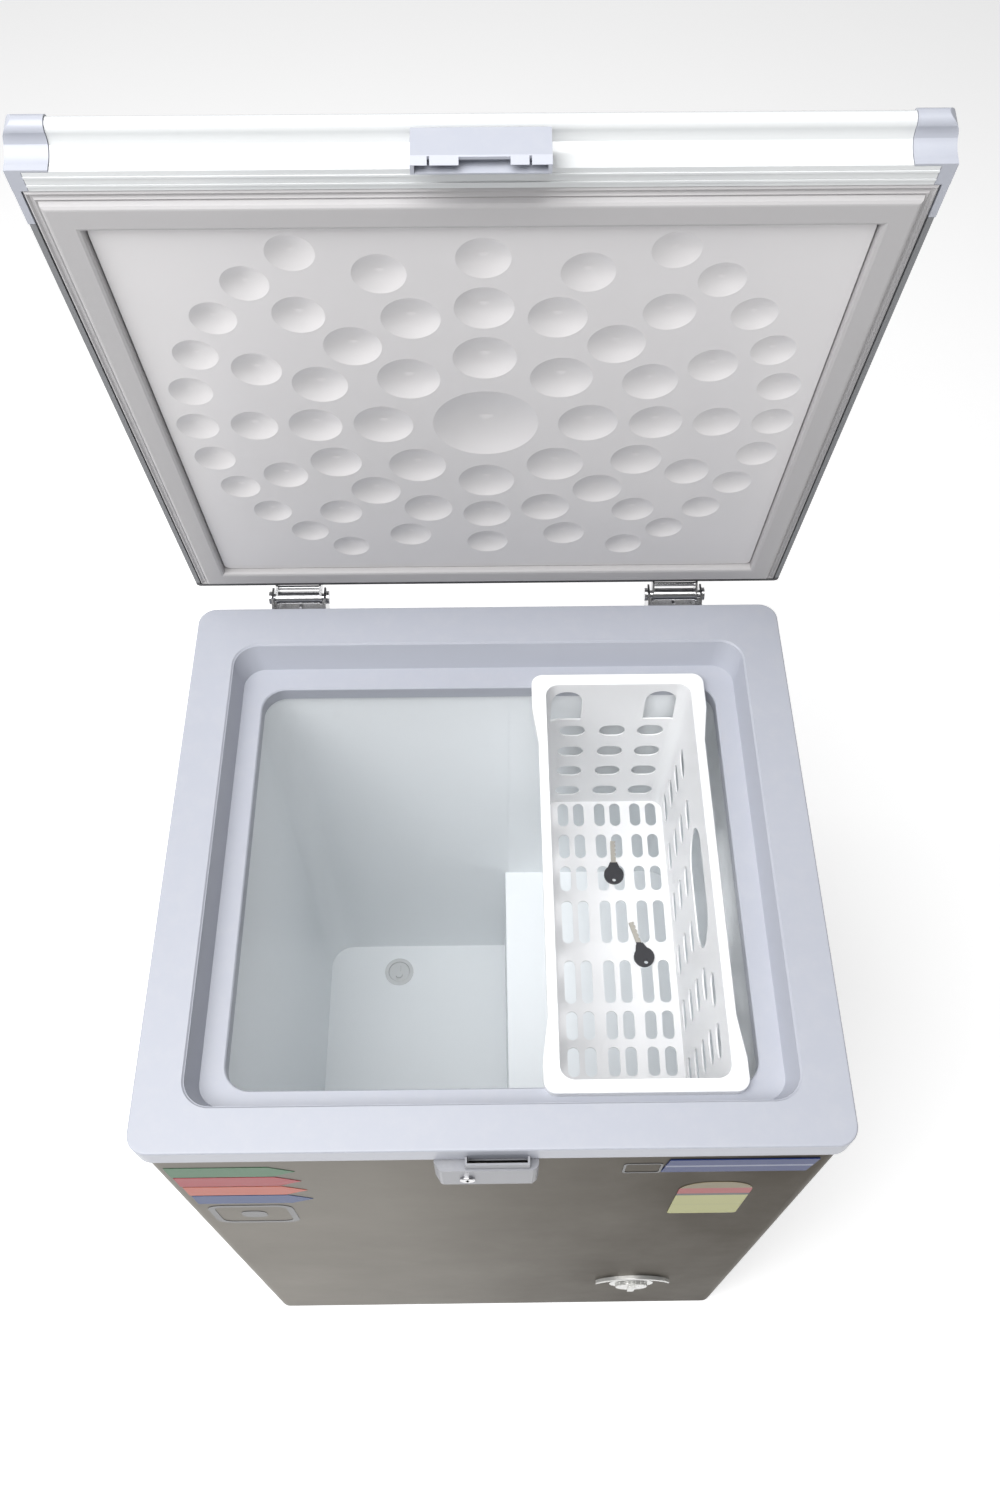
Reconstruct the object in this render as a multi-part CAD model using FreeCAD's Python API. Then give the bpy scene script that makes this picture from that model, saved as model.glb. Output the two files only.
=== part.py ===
"""Compact chest freezer: foamed steel cabinet, stepped rim, coved lid on two rear hinges, hanging basket.

Frame: Z up from the floor, X to the right, Y to the back. Shapes are drawn about the middle of the rim
and then shifted along Y, so that the origin lies on the floor under the middle of the open freezer.
Units are millimetres. The lid is drawn closed and then turned open about its hinge axis.
"""
import FreeCAD
import Part
import math
import os

V = FreeCAD.Vector

# ---------------------------------------------------------------- driving sizes
RIM_W = 565.0            # rim, outer width
RIM_D = 526.0            # rim, outer depth
RIM_TOP = 800.0          # height of the rim's top face above the floor
RIM_R = 17.0             # rim corner radius
RIM_SKIRT = 25.0         # height of the rim's outer band
SKIN_INSET = 4.0         # cabinet skin set back from the rim's band
FOOT_H = 16.0            # height of the feet
SHEET = 1.0              # skin thickness
GAP = 0.3                # fitting gap between neighbouring pieces

HW = RIM_W / 2.0
HD = RIM_D / 2.0
SKIN_X = HW - SKIN_INSET
SKIN_Y = HD - SKIN_INSET
SKIN_R = RIM_R - SKIN_INSET
SKIN_TOP = RIM_TOP - 3.0
HEM = 20.0               # width of the skin's hem round each back corner
DECK_Z = FOOT_H + 1.5    # top of the base pan

OPEN_X = HW - 38.7       # upper opening, half width
OPEN_FRONT = -HD + 36.5
OPEN_BACK = HD - 44.2
LEDGE_Z = RIM_TOP - 27.0  # ledge that carries the basket
LEDGE_X = OPEN_X - 6.8   # ledge outer edge, half width
LEDGE_FRONT = OPEN_FRONT + 6.5
LEDGE_BACK = OPEN_BACK - 10.3
MOUTH_X = LEDGE_X - 19.5  # tank mouth, half width
MOUTH_FRONT = LEDGE_FRONT + 13.6
MOUTH_BACK = LEDGE_BACK - 23.8
LIP_Z = RIM_TOP - 42.5   # foot of the mouth lip

TANK_X = MOUTH_X + 4.5   # tank inside, half width
TANK_FRONT = MOUTH_FRONT - 3.6
TANK_BACK = MOUTH_BACK + 3.3
TANK_T = 0.8
TANK_R = 30.0
FLOOR_Z = 133.0          # tank floor
STEP_Z = 362.0           # top of the step over the compressor bay
STEP_X = TANK_X - 204.5  # left face of the step
BAY_X = STEP_X + 44.5    # left wall of the compressor bay
BAY_TOP = STEP_Z - 50.0

LID_HALF = HW + 2.0      # lid half width
LID_OPEN = 79.0          # stored opening angle of the lid, degrees
LB = RIM_TOP + 6.0       # underside of the lid's frame
LT = RIM_TOP + 40.0      # top of the lid
AXIS_Y = HD + 14.0       # hinge axis
AXIS_Z = RIM_TOP - 1.0
PIN_R = 4.0
HINGE_X = (-HW + 96.5, HW - 98.5)
PLATE_SCREW_X = (-14.0, 14.0)                      # hinge plate screws from the hinge's middle
PLATE_SCREW_Z = (RIM_TOP - 88.0, RIM_TOP - 56.0)
LEAF_SCREW_X = (-13.0, 13.0)                       # lid leaf screws from the hinge's middle
LEAF_SCREW_Z = RIM_TOP + 24.0
LEAF_Y = HD + 1.6        # lid leaf's inner face, behind the lid
TRIM_BACK = -HD + 22.2   # back edge of the lid's front trim
TRIM_BAND = 15.2         # flat band under the front trim
TRIM_RIBS = (4.2, 10.6)  # ribs along the band, forward of its back edge
CAP_X = LID_HALF - 25.5  # inner edge of the lid's corner caps
EDGE_X = LID_HALF - 3.9  # inner edge of the lid's side trims
GASKET_CREST = 0.5       # gasket crest above the rim top when shut
GASKET_X = LID_HALF - 4.9
GASKET_FRONT = -HD + 22.7
GASKET_BACK = HD - 3.2
GASKET_W = 28.0          # width of the gasket's band
FIELD_DROP = 4.0         # dimpled field stands this far below the liner's edge

ROOM_X = GASKET_X - GASKET_W                       # half the width inside the gasket
ROOM_Y = (GASKET_BACK - GASKET_FRONT) / 2.0 - GASKET_W
PATTERN = min(ROOM_X / 251.6, ROOM_Y / 222.05)     # the dimple pattern follows the tighter side
LINER_MID_Y = 1.75       # middle of the dimple pattern
DIMPLE_CENTRE_R = 41.5   # big middle dimple
DIMPLE_RINGS = (         # ring radius, dimple radius, depth, step in degrees
    (80.5, 23.5, 6.5, 45.0),
    (134.0, 21.0, 6.0, 22.5),
    (182.0, 18.5, 5.2, 22.5),
    (226.5, 16.5, 4.6, 11.25),
)
DIMPLE_SIDE_LIMIT = 57.0  # the outermost ring stops this far from level, degrees

BASKET_R = LEDGE_X - 30.0
BASKET_L = BASKET_R - 166.0
BASKET_FRONT = LEDGE_FRONT + 6.0
BASKET_BACK = LEDGE_BACK - 14.5
BASKET_FLOOR = LEDGE_Z - 207.0
BASKET_TOP = LEDGE_Z + 8.3
BASKET_T = 1.4
BASKET_MID_Y = (BASKET_FRONT + BASKET_BACK + 4.0) / 2.0
BASKET_STRETCH = (BASKET_BACK - BASKET_FRONT - 44.0) / 364.0  # slot rows follow the floor's length

LOCK_L = -47.0
LOCK_R = 36.0
LOCK_TOP = RIM_TOP - 28.0
LOCK_H = 43.0
LOCK_OUT = 8.5           # how far the lock stands out from the rim's band
FENCE_L = -22.0          # raised collar on the lock's top
FENCE_R = 28.5
FENCE_TOP = RIM_TOP - 16.0
BARREL_X = -20.6
BARREL_Z = RIM_TOP - 50.5
BARREL_R = 6.2

KNOB_X = HW - 121.0
KNOB_Z = 165.0
KNOB_R = 19.0
ARCH_R = 47.0

DRAIN_X = -TANK_X + 93.0
DRAIN_Y = TANK_BACK - 38.0

COIL_R = 3.6             # evaporator tube
CONDENSER_R = 3.0
CONDENSER_PITCH = 64.0
CONDENSER_LOW = 60.0
CONDENSER_RUNS = int((RIM_TOP - 160.0) / CONDENSER_PITCH) + 1

COMP_X = BAY_X + 108.0
COMP_Y = SKIN_Y - 147.0
COMP_R = 72.0
COMP_TOP = 200.0
STUB_Z = 134.0           # height of the compressor's pipe stubs
DRIER_X = SKIN_X - 40.5
DRIER_Y = COMP_Y - 172.0

GLAND_X = SKIN_X - 38.5
GLAND_Z = FOOT_H + 20.0

BACKWARD = FreeCAD.Vector(0, 1, 0)
RIGHTWARD = FreeCAD.Vector(1, 0, 0)

PARTS = {}


# ---------------------------------------------------------------- helpers
def box(x0, x1, y0, y1, z0, z1):
    return Part.makeBox(x1 - x0, y1 - y0, z1 - z0, V(x0, y0, z0))


def cyl(x, y, z, r, h, axis=V(0, 0, 1)):
    return Part.makeCylinder(r, h, V(x, y, z), axis)


def outline(x0, x1, y0, y1, z, radii):
    """Closed wire in a level plane with corner radii (front-left, front-right, back-right, back-left)."""
    if not isinstance(radii, (tuple, list)):
        radii = (radii,) * 4
    corners = ((x0, y0, 1, 1), (x1, y0, -1, 1), (x1, y1, -1, -1), (x0, y1, 1, -1))
    turns = []
    for (cx, cy, sx, sy), r in zip(corners, radii):
        k = r * (1.0 - math.sqrt(0.5))
        along_x = V(cx + sx * r, cy, z)
        along_y = V(cx, cy + sy * r, z)
        middle = V(cx + sx * k, cy + sy * k, z)
        turns.append((along_x, along_y, middle, r))
    edges = []
    order = ((0, 1, 0), (1, 0, 1), (2, 1, 0), (3, 0, 1))
    for i, enter, leave in order:
        start, end = turns[i][enter], turns[i][leave]
        if turns[i][3] > 1e-6:
            edges.append(Part.Arc(start, turns[i][2], end).toShape())
        nxt = order[(i + 1) % 4]
        follow = turns[nxt[0]][nxt[1]]
        if (follow - end).Length > 1e-6:
            edges.append(Part.LineSegment(end, follow).toShape())
    return Part.Wire(edges)


def rbox(x0, x1, y0, y1, z0, z1, radii):
    face = Part.Face(outline(x0, x1, y0, y1, z0, radii))
    return face.extrude(V(0, 0, z1 - z0))


def taper(low, high):
    """Solid between two level outlines, each (x0, x1, y0, y1, z, r)."""
    wires = [outline(*low), outline(*high)]
    return Part.makeLoft(wires, True, True)


def slab_x(points, x0, x1):
    """Extrude a (y, z) polygon along X."""
    loop = [V(x0, y, z) for y, z in points]
    face = Part.Face(Part.makePolygon(loop + [loop[0]]))
    return face.extrude(V(x1 - x0, 0, 0))


def slab_y(points, y0, y1):
    """Extrude an (x, z) polygon along Y."""
    loop = [V(x, y0, z) for x, z in points]
    face = Part.Face(Part.makePolygon(loop + [loop[0]]))
    return face.extrude(V(0, y1 - y0, 0))


def slab_z(points, z0, z1):
    """Extrude an (x, y) polygon along Z."""
    loop = [V(x, y, z0) for x, y in points]
    face = Part.Face(Part.makePolygon(loop + [loop[0]]))
    return face.extrude(V(0, 0, z1 - z0))


def stadium(length, width, depth):
    """Slot cutter lying in XY, long side along X, centred, depth along Z."""
    half = max(length - width, 0.02) / 2.0
    r = width / 2.0
    a, b = V(-half, -r, -depth / 2.0), V(half, -r, -depth / 2.0)
    c, d = V(half, r, -depth / 2.0), V(-half, r, -depth / 2.0)
    edges = [
        Part.LineSegment(a, b).toShape(),
        Part.Arc(b, V(half + r, 0, -depth / 2.0), c).toShape(),
        Part.LineSegment(c, d).toShape(),
        Part.Arc(d, V(-half - r, 0, -depth / 2.0), a).toShape(),
    ]
    return Part.Face(Part.Wire(edges)).extrude(V(0, 0, depth))


def moved(shape, x, y, z):
    copy = shape.copy()
    copy.translate(V(x, y, z))
    return copy


def turned(shape, centre, axis, angle):
    copy = shape.copy()
    copy.rotate(centre, axis, angle)
    return copy


def tube(points, r, bend):
    """Round rod along straight runs joined by tangent arcs."""
    pts = [V(*p) for p in points]
    edges = []
    here = pts[0]
    for i in range(1, len(pts) - 1):
        u = (pts[i] - pts[i - 1]).normalize()
        w = (pts[i + 1] - pts[i]).normalize()
        angle = u.getAngle(w)
        cut = bend * math.tan(angle / 2.0)
        a = pts[i] - u * cut
        b = pts[i] + w * cut
        inward = (w - u).normalize()
        middle = pts[i] + inward * (bend / math.cos(angle / 2.0) - bend)
        edges.append(Part.LineSegment(here, a).toShape())
        edges.append(Part.Arc(a, middle, b).toShape())
        here = b
    edges.append(Part.LineSegment(here, pts[-1]).toShape())
    path = Part.Wire(edges)
    way = (pts[1] - pts[0]).normalize()
    ring = Part.Wire([Part.Circle(pts[0], way, r).toShape()])
    return path.makePipeShell([ring], True, False)


def fillet_level(shape, z, r):
    """Round every edge that lies at height z."""
    chosen = []
    for e in shape.Edges:
        b = e.BoundBox
        if abs(b.ZMin - z) < 1e-4 and abs(b.ZMax - z) < 1e-4:
            chosen.append(e)
    return shape.makeFillet(r, chosen)


def screw(x, y, z, way, head_r, head_h, shank_r, shank_l):
    """Domed screw: head outside, shank running along way."""
    away = way * -1.0
    head = Part.makeCylinder(head_r, head_h, V(x, y, z), away)
    rim_edges = [e for e in head.Edges if abs((e.CenterOfMass - V(x, y, z)).dot(away) - head_h) < 1e-6]
    head = head.makeFillet(head_h * 0.6, rim_edges)
    slot_depth = head_h * 0.45
    cut_c = V(x, y, z) + away * (head_h - slot_depth / 2.0)
    bars = []
    for span in ((head_r * 1.1, head_h * 0.28), (head_h * 0.28, head_r * 1.1)):
        if abs(way.y) > 0.5:
            bars.append(box(cut_c.x - span[0] / 2, cut_c.x + span[0] / 2, cut_c.y - slot_depth,
                            cut_c.y + slot_depth, cut_c.z - span[1] / 2, cut_c.z + span[1] / 2))
        else:
            bars.append(box(cut_c.x - span[0] / 2, cut_c.x + span[0] / 2, cut_c.y - span[1] / 2,
                            cut_c.y + span[1] / 2, cut_c.z - slot_depth, cut_c.z + slot_depth))
    for bar in bars:
        head = head.cut(bar)
    return head.fuse(Part.makeCylinder(shank_r, shank_l, V(x, y, z), way))


def put(node, *shapes):
    """File one node's solids under its name."""
    solids = []
    for s in shapes:
        for solid in s.Solids:
            if solid.Volume < 0:
                solid.reverse()
            solids.append(solid)
    PARTS[node] = solids[0] if len(solids) == 1 else Part.makeCompound(solids)


def open_lid(shape):
    """Turn a lid piece from shut to its stored opening angle."""
    copy = shape.copy()
    copy.rotate(V(0, AXIS_Y, AXIS_Z), V(-1, 0, 0), LID_OPEN)
    return copy


# ---------------------------------------------------------------- cabinet shell
def make_shell():
    tube_out = rbox(-SKIN_X, SKIN_X, -SKIN_Y, SKIN_Y, FOOT_H, SKIN_TOP, SKIN_R)
    tube_in = rbox(-SKIN_X + SHEET, SKIN_X - SHEET, -SKIN_Y + SHEET, SKIN_Y - SHEET, FOOT_H - 1,
                   SKIN_TOP + 1, SKIN_R - SHEET)
    skin = tube_out.cut(tube_in)
    back = box(-SKIN_X + HEM, SKIN_X - HEM, SKIN_Y - SHEET - 1, SKIN_Y + 1, FOOT_H - 1, SKIN_TOP + 1)
    skin = skin.cut(back)
    skin = skin.cut(cyl(KNOB_X, -SKIN_Y - 1, KNOB_Z, 6.0, 4, BACKWARD))
    put("cabinet_skin", skin)

    panel_x = SKIN_X - HEM - GAP
    panel = box(-panel_x, panel_x, SKIN_Y - SHEET, SKIN_Y, DECK_Z + GAP, SKIN_TOP)
    panel = panel.cut(box(BAY_X + 6, panel_x - 4.7, SKIN_Y - 3, SKIN_Y + 1, DECK_Z + 6, BAY_TOP - 8))
    bead_x = SKIN_X - 78.5
    bead = taper((-bead_x, bead_x, -8, 8, 0, 7.9), (-bead_x + 3, bead_x - 3, -5, 5, 1.6, 4.9))
    bead = turned(bead, V(0, 0, 0), RIGHTWARD, -90)
    bead_step = (RIM_TOP - BAY_TOP - 268.0) / 2.0
    for i in range(3):
        panel = panel.fuse(moved(bead, 0, SKIN_Y - 0.2, BAY_TOP + 108 + bead_step * i))
    for x, z in plate_screw_places():
        panel = panel.cut(cyl(x, SKIN_Y - 4, z, 2.2, 8, BACKWARD))
    put("rear_panel", panel)

    inset = SHEET + GAP
    pan = rbox(-SKIN_X + inset, SKIN_X - inset, -SKIN_Y + inset, SKIN_Y - inset, FOOT_H, DECK_Z,
               SKIN_R - inset)
    for x, y in foot_places():
        pan = pan.cut(cyl(x, y, FOOT_H - 1, 4.3, 4))
    for x, y in mount_places():
        pan = pan.cut(cyl(x, y, FOOT_H - 1, 3.2, 4))
    pan = pan.cut(cyl(DRAIN_X, DRAIN_Y, FOOT_H - 1, 10.4, 4))
    slot = stadium(60, 5, 6)
    for i in range(7):
        pan = pan.cut(moved(slot, COMP_X, -SKIN_Y + 109 + 16 * i, FOOT_H + 0.7))
    put("base_pan", pan)


def plate_screw_places():
    return [(x + dx, z) for x in HINGE_X for dx in PLATE_SCREW_X for z in PLATE_SCREW_Z]


def foot_places():
    return [(sx * (SKIN_X - 46.5), sy * (SKIN_Y - 47.0)) for sx in (-1, 1) for sy in (-1, 1)]


def mount_places():
    return [(COMP_X + sx * 70.0, COMP_Y + sy * 62.0) for sx in (-1, 1) for sy in (-1, 1)]


def make_feet():
    feet = []
    for x, y in foot_places():
        profile = Part.makePolygon([V(0, 0, 0), V(17, 0, 0), V(19, 0, 2), V(19, 0, 6), V(12, 0, 12),
                                    V(12, 0, FOOT_H), V(4, 0, FOOT_H), V(4, 0, FOOT_H + 9),
                                    V(0, 0, FOOT_H + 9), V(0, 0, 0)])
        foot = Part.Face(profile).revolve(V(0, 0, 0), V(0, 0, 1), 360)
        feet.append(moved(foot, x, y, 0))
    put("feet", *feet)


# ---------------------------------------------------------------- rim with basket ledge
def make_rim():
    t = 2.5
    outer = rbox(-HW, HW, -HD, HD, RIM_TOP - RIM_SKIRT, RIM_TOP, RIM_R)
    outer = fillet_level(outer, RIM_TOP, 1.6)
    skirt = SKIN_INSET - GAP
    inner = rbox(-HW + skirt, HW - skirt, -HD + skirt, HD - skirt, RIM_TOP - RIM_SKIRT - 1, RIM_TOP - t,
                 RIM_R - skirt)
    rim = outer.cut(inner)
    funnel = taper((-LEDGE_X - t, LEDGE_X + t, LEDGE_FRONT - t, LEDGE_BACK + t, LEDGE_Z - t, 23),
                   (-OPEN_X - t, OPEN_X + t, OPEN_FRONT - t, OPEN_BACK + t, RIM_TOP - 1, 25))
    lip = rbox(-MOUTH_X - 2, MOUTH_X + 2, MOUTH_FRONT - 2, MOUTH_BACK + 2, LIP_Z, LEDGE_Z - 1, 24)
    rim = rim.fuse(funnel).fuse(lip)
    well = taper((-LEDGE_X, LEDGE_X, LEDGE_FRONT, LEDGE_BACK, LEDGE_Z, 20.5),
                 (-OPEN_X, OPEN_X, OPEN_FRONT, OPEN_BACK, RIM_TOP, 22.5))
    mouth = rbox(-MOUTH_X, MOUTH_X, MOUTH_FRONT, MOUTH_BACK, LIP_Z - 1, LEDGE_Z + 1, 22)
    lead_top = taper((-OPEN_X, OPEN_X, OPEN_FRONT, OPEN_BACK, RIM_TOP - 1.4, 22.5),
                     (-OPEN_X - 1.6, OPEN_X + 1.6, OPEN_FRONT - 1.6, OPEN_BACK + 1.6, RIM_TOP + 0.2, 24.1))
    lead_low = taper((-MOUTH_X, MOUTH_X, MOUTH_FRONT, MOUTH_BACK, LEDGE_Z - 1.1, 22),
                     (-MOUTH_X - 1.2, MOUTH_X + 1.2, MOUTH_FRONT - 1.2, MOUTH_BACK + 1.2, LEDGE_Z + 0.1,
                      23.2))
    rim = rim.cut(well).cut(mouth).cut(lead_top).cut(lead_low)
    put("rim_frame", rim.removeSplitter())


# ---------------------------------------------------------------- tank
def tank_body(grow, top):
    """Stepped tank volume, grown outwards by grow."""
    upper = rbox(-TANK_X - grow, TANK_X + grow, TANK_FRONT - grow, TANK_BACK + grow, STEP_Z - grow, top,
                 TANK_R + grow)
    lower = rbox(-TANK_X - grow, STEP_X + grow, TANK_FRONT - grow, TANK_BACK + grow, FLOOR_Z - grow,
                 STEP_Z + 20, (TANK_R + grow, 0.5, 0.5, TANK_R + grow))
    return upper.fuse(lower)


def make_tank():
    top = LEDGE_Z - 2.8
    tank = tank_body(TANK_T, top).cut(tank_body(0.0, top + 1))
    seam_x = STEP_X + 2.0
    for y0, y1 in ((TANK_FRONT - 0.45, TANK_FRONT + 1), (TANK_BACK - 1, TANK_BACK + 0.45)):
        tank = tank.cut(box(seam_x, seam_x + 0.9, y0, y1, STEP_Z + 1, top + 1))
    tank = tank.cut(cyl(DRAIN_X, DRAIN_Y, FLOOR_Z - 3, 17.4, 6))
    put("tank", tank.removeSplitter())


def make_drain():
    cup = cyl(DRAIN_X, DRAIN_Y, FLOOR_Z - 12, 17.2, 12.6)
    flange = cyl(DRAIN_X, DRAIN_Y, FLOOR_Z + 0.1, 19.5, 0.9)
    cup = cup.fuse(flange).cut(cyl(DRAIN_X, DRAIN_Y, FLOOR_Z - 10, 14.5, 20))
    cup = cup.cut(cyl(DRAIN_X, DRAIN_Y, FLOOR_Z - 20, 8.0, 30))
    put("drain_cup", cup)

    pipe = cyl(DRAIN_X, DRAIN_Y, FOOT_H - 6.0, 10.0, FLOOR_Z - 12.3 - FOOT_H + 6.0)
    put("drain_tube", pipe.cut(cyl(DRAIN_X, DRAIN_Y, FOOT_H - 8, 8.0, 140)))

    disc = cyl(DRAIN_X, DRAIN_Y, FLOOR_Z - 6.0, 14.2, 6.6)
    disc = fillet_level(disc, FLOOR_Z + 0.6, 1.0)
    stem = cyl(DRAIN_X, DRAIN_Y, FLOOR_Z - 9.6, 9.5, 4.0)
    grip = box(DRAIN_X - 2.2, DRAIN_X + 2.2, DRAIN_Y - 9.5, DRAIN_Y + 8.0, FLOOR_Z, FLOOR_Z + 5.0)
    bulb = cyl(DRAIN_X, DRAIN_Y - 5.0, FLOOR_Z, 4.6, 5.0)
    put("drain_plug", disc.fuse(stem).fuse(grip).fuse(bulb).removeSplitter())


# ---------------------------------------------------------------- tubes bonded to tank and skin
def loop_z():
    """Heights of the evaporator rings round the wide and the deep part of the tank."""
    wide_low = STEP_Z + 36.0
    deep_low = FLOOR_Z + 32.0
    wide_count = int((LEDGE_Z - 25.0 - wide_low) / 50.0) + 1
    deep_count = int((STEP_Z - 59.0 - deep_low) / 46.0) + 1
    return [wide_low + 50.0 * i for i in range(wide_count)], [deep_low + 46.0 * i for i in range(deep_count)]


def ring_tube(x0, x1, y0, y1, z, corner, r):
    path = outline(x0, x1, y0, y1, z, corner)
    start = V(x0 + (corner[0] if isinstance(corner, tuple) else corner), y0, z)
    circle = Part.Wire([Part.Circle(start, V(-1, 0, 0), r).toShape()])
    return path.makePipeShell([circle], True, True)


def make_coils():
    off = TANK_T + GAP + COIL_R
    y0, y1 = TANK_FRONT - off, TANK_BACK + off
    big = TANK_R + off
    small = COIL_R + 0.4
    wide, deep = loop_z()
    rings = [ring_tube(-TANK_X - off, TANK_X + off, y0, y1, z, big, COIL_R) for z in wide]
    corners = (big, small, small, big)
    rings += [ring_tube(-TANK_X - off, STEP_X + off, y0, y1, z, corners, COIL_R) for z in deep]
    put("evaporator_coil", *rings)

    x = -SKIN_X + SHEET + GAP + CONDENSER_R
    reach = SKIN_Y - 23.0
    pts = []
    for i in range(CONDENSER_RUNS):
        z = CONDENSER_LOW + CONDENSER_PITCH * i
        first = -reach if i % 2 == 0 else reach
        pts.append((x, first, z))
        pts.append((x, -first, z))
    put("condenser_coil", tube(pts, CONDENSER_R, 24.0))


def make_foam():
    """Insulation in blocks that meet face to face: walls, corner posts, base and the ring under the rim."""
    clear = TANK_T + GAP
    inset = SHEET + GAP
    top = LEDGE_Z - 3.0
    far = RIM_W + RIM_D
    a = SKIN_X - inset
    b = SKIN_Y - inset
    foam = rbox(-a, a, -b, b, DECK_Z + GAP, RIM_TOP - 3.2, SKIN_R - inset)
    hole_x, hole_front, hole_back = OPEN_X + 3.4, OPEN_FRONT - 3.4, OPEN_BACK + 3.4
    foam = foam.cut(box(-hole_x, hole_x, hole_front, hole_back, top, RIM_TOP))
    foam = foam.cut(tank_body(clear, top + 5))
    foam = foam.cut(rbox(-MOUTH_X - 3, MOUTH_X + 3, MOUTH_FRONT - 3, MOUTH_BACK + 3, LIP_Z - 3, top + 1, 25))
    foam = foam.cut(box(BAY_X, a + 1, -b - 1, b + 1, DECK_Z - 1, BAY_TOP))
    off = clear + 2 * COIL_R + 0.4
    groove = COIL_R + 0.5
    wide, deep = loop_z()
    for z in wide:
        foam = foam.cut(rbox(-TANK_X - off, TANK_X + off, TANK_FRONT - off, TANK_BACK + off, z - groove,
                             z + groove, TANK_R + off))
    for z in deep:
        foam = foam.cut(rbox(-TANK_X - off, STEP_X + off, TANK_FRONT - off, TANK_BACK + off, z - groove,
                             z + groove, (TANK_R + off, 4, 4, TANK_R + off)))
    slot = CONDENSER_R + 0.8
    for i in range(CONDENSER_RUNS):
        z = CONDENSER_LOW + CONDENSER_PITCH * i
        foam = foam.cut(box(-a - 1, -a + 7.2, -SKIN_Y + 19, SKIN_Y - 19, z - slot, z + slot))
        if i < CONDENSER_RUNS - 1:
            side = 1 if i % 2 == 0 else -1
            y0, y1 = sorted((side * (SKIN_Y - 51), side * (SKIN_Y - 18)))
            foam = foam.cut(box(-a - 1, -a + 7.2, y0, y1, z, z + CONDENSER_PITCH))
    foam = foam.cut(cyl(DRAIN_X, DRAIN_Y, DECK_Z, 10.4, FLOOR_Z))
    foam = foam.cut(cyl(DRAIN_X, DRAIN_Y, FLOOR_Z - 13, 20.0, 13))
    for x, y in foot_places():
        foam = foam.cut(cyl(x, y, DECK_Z - 1, 6.0, 12))
    for x, z in plate_screw_places():
        foam = foam.cut(cyl(x, SKIN_Y - 14, z, 3.0, 16, BACKWARD))

    def block(x0, x1, y0, y1, z0, z1):
        return foam.common(box(x0, x1, y0, y1, z0, z1))

    tx = TANK_X + clear
    step = STEP_X + clear
    front, back = TANK_FRONT - clear, TANK_BACK + clear
    post = TANK_R + clear
    floor_z, step_z = FLOOR_Z - clear, STEP_Z - clear
    put("foam_walls", block(-far, -tx, -far, far, 0, top), block(tx, far, -far, far, 0, top),
        block(-tx, BAY_X, -far, front, 0, top), block(BAY_X, tx, -far, front, 0, top),
        block(-tx, BAY_X, back, far, 0, top), block(BAY_X, tx, back, far, 0, top))
    put("foam_corner_posts", block(-tx, post - tx, front, front + post, floor_z, top),
        block(-tx, post - tx, back - post, back, floor_z, top),
        block(tx - post, tx, front, front + post, step_z, top),
        block(tx - post, tx, back - post, back, step_z, top))
    put("foam_base", block(-tx, step, front, back, 0, floor_z), block(step, BAY_X, front, back, 0, step_z),
        block(BAY_X, tx, front, back, 0, step_z))
    put("foam_rim_ring", block(-far, -hole_x, -far, far, top, RIM_TOP),
        block(hole_x, far, -far, far, top, RIM_TOP),
        block(-hole_x, hole_x, -far, hole_front, top, RIM_TOP),
        block(-hole_x, hole_x, hole_back, far, top, RIM_TOP))


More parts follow.
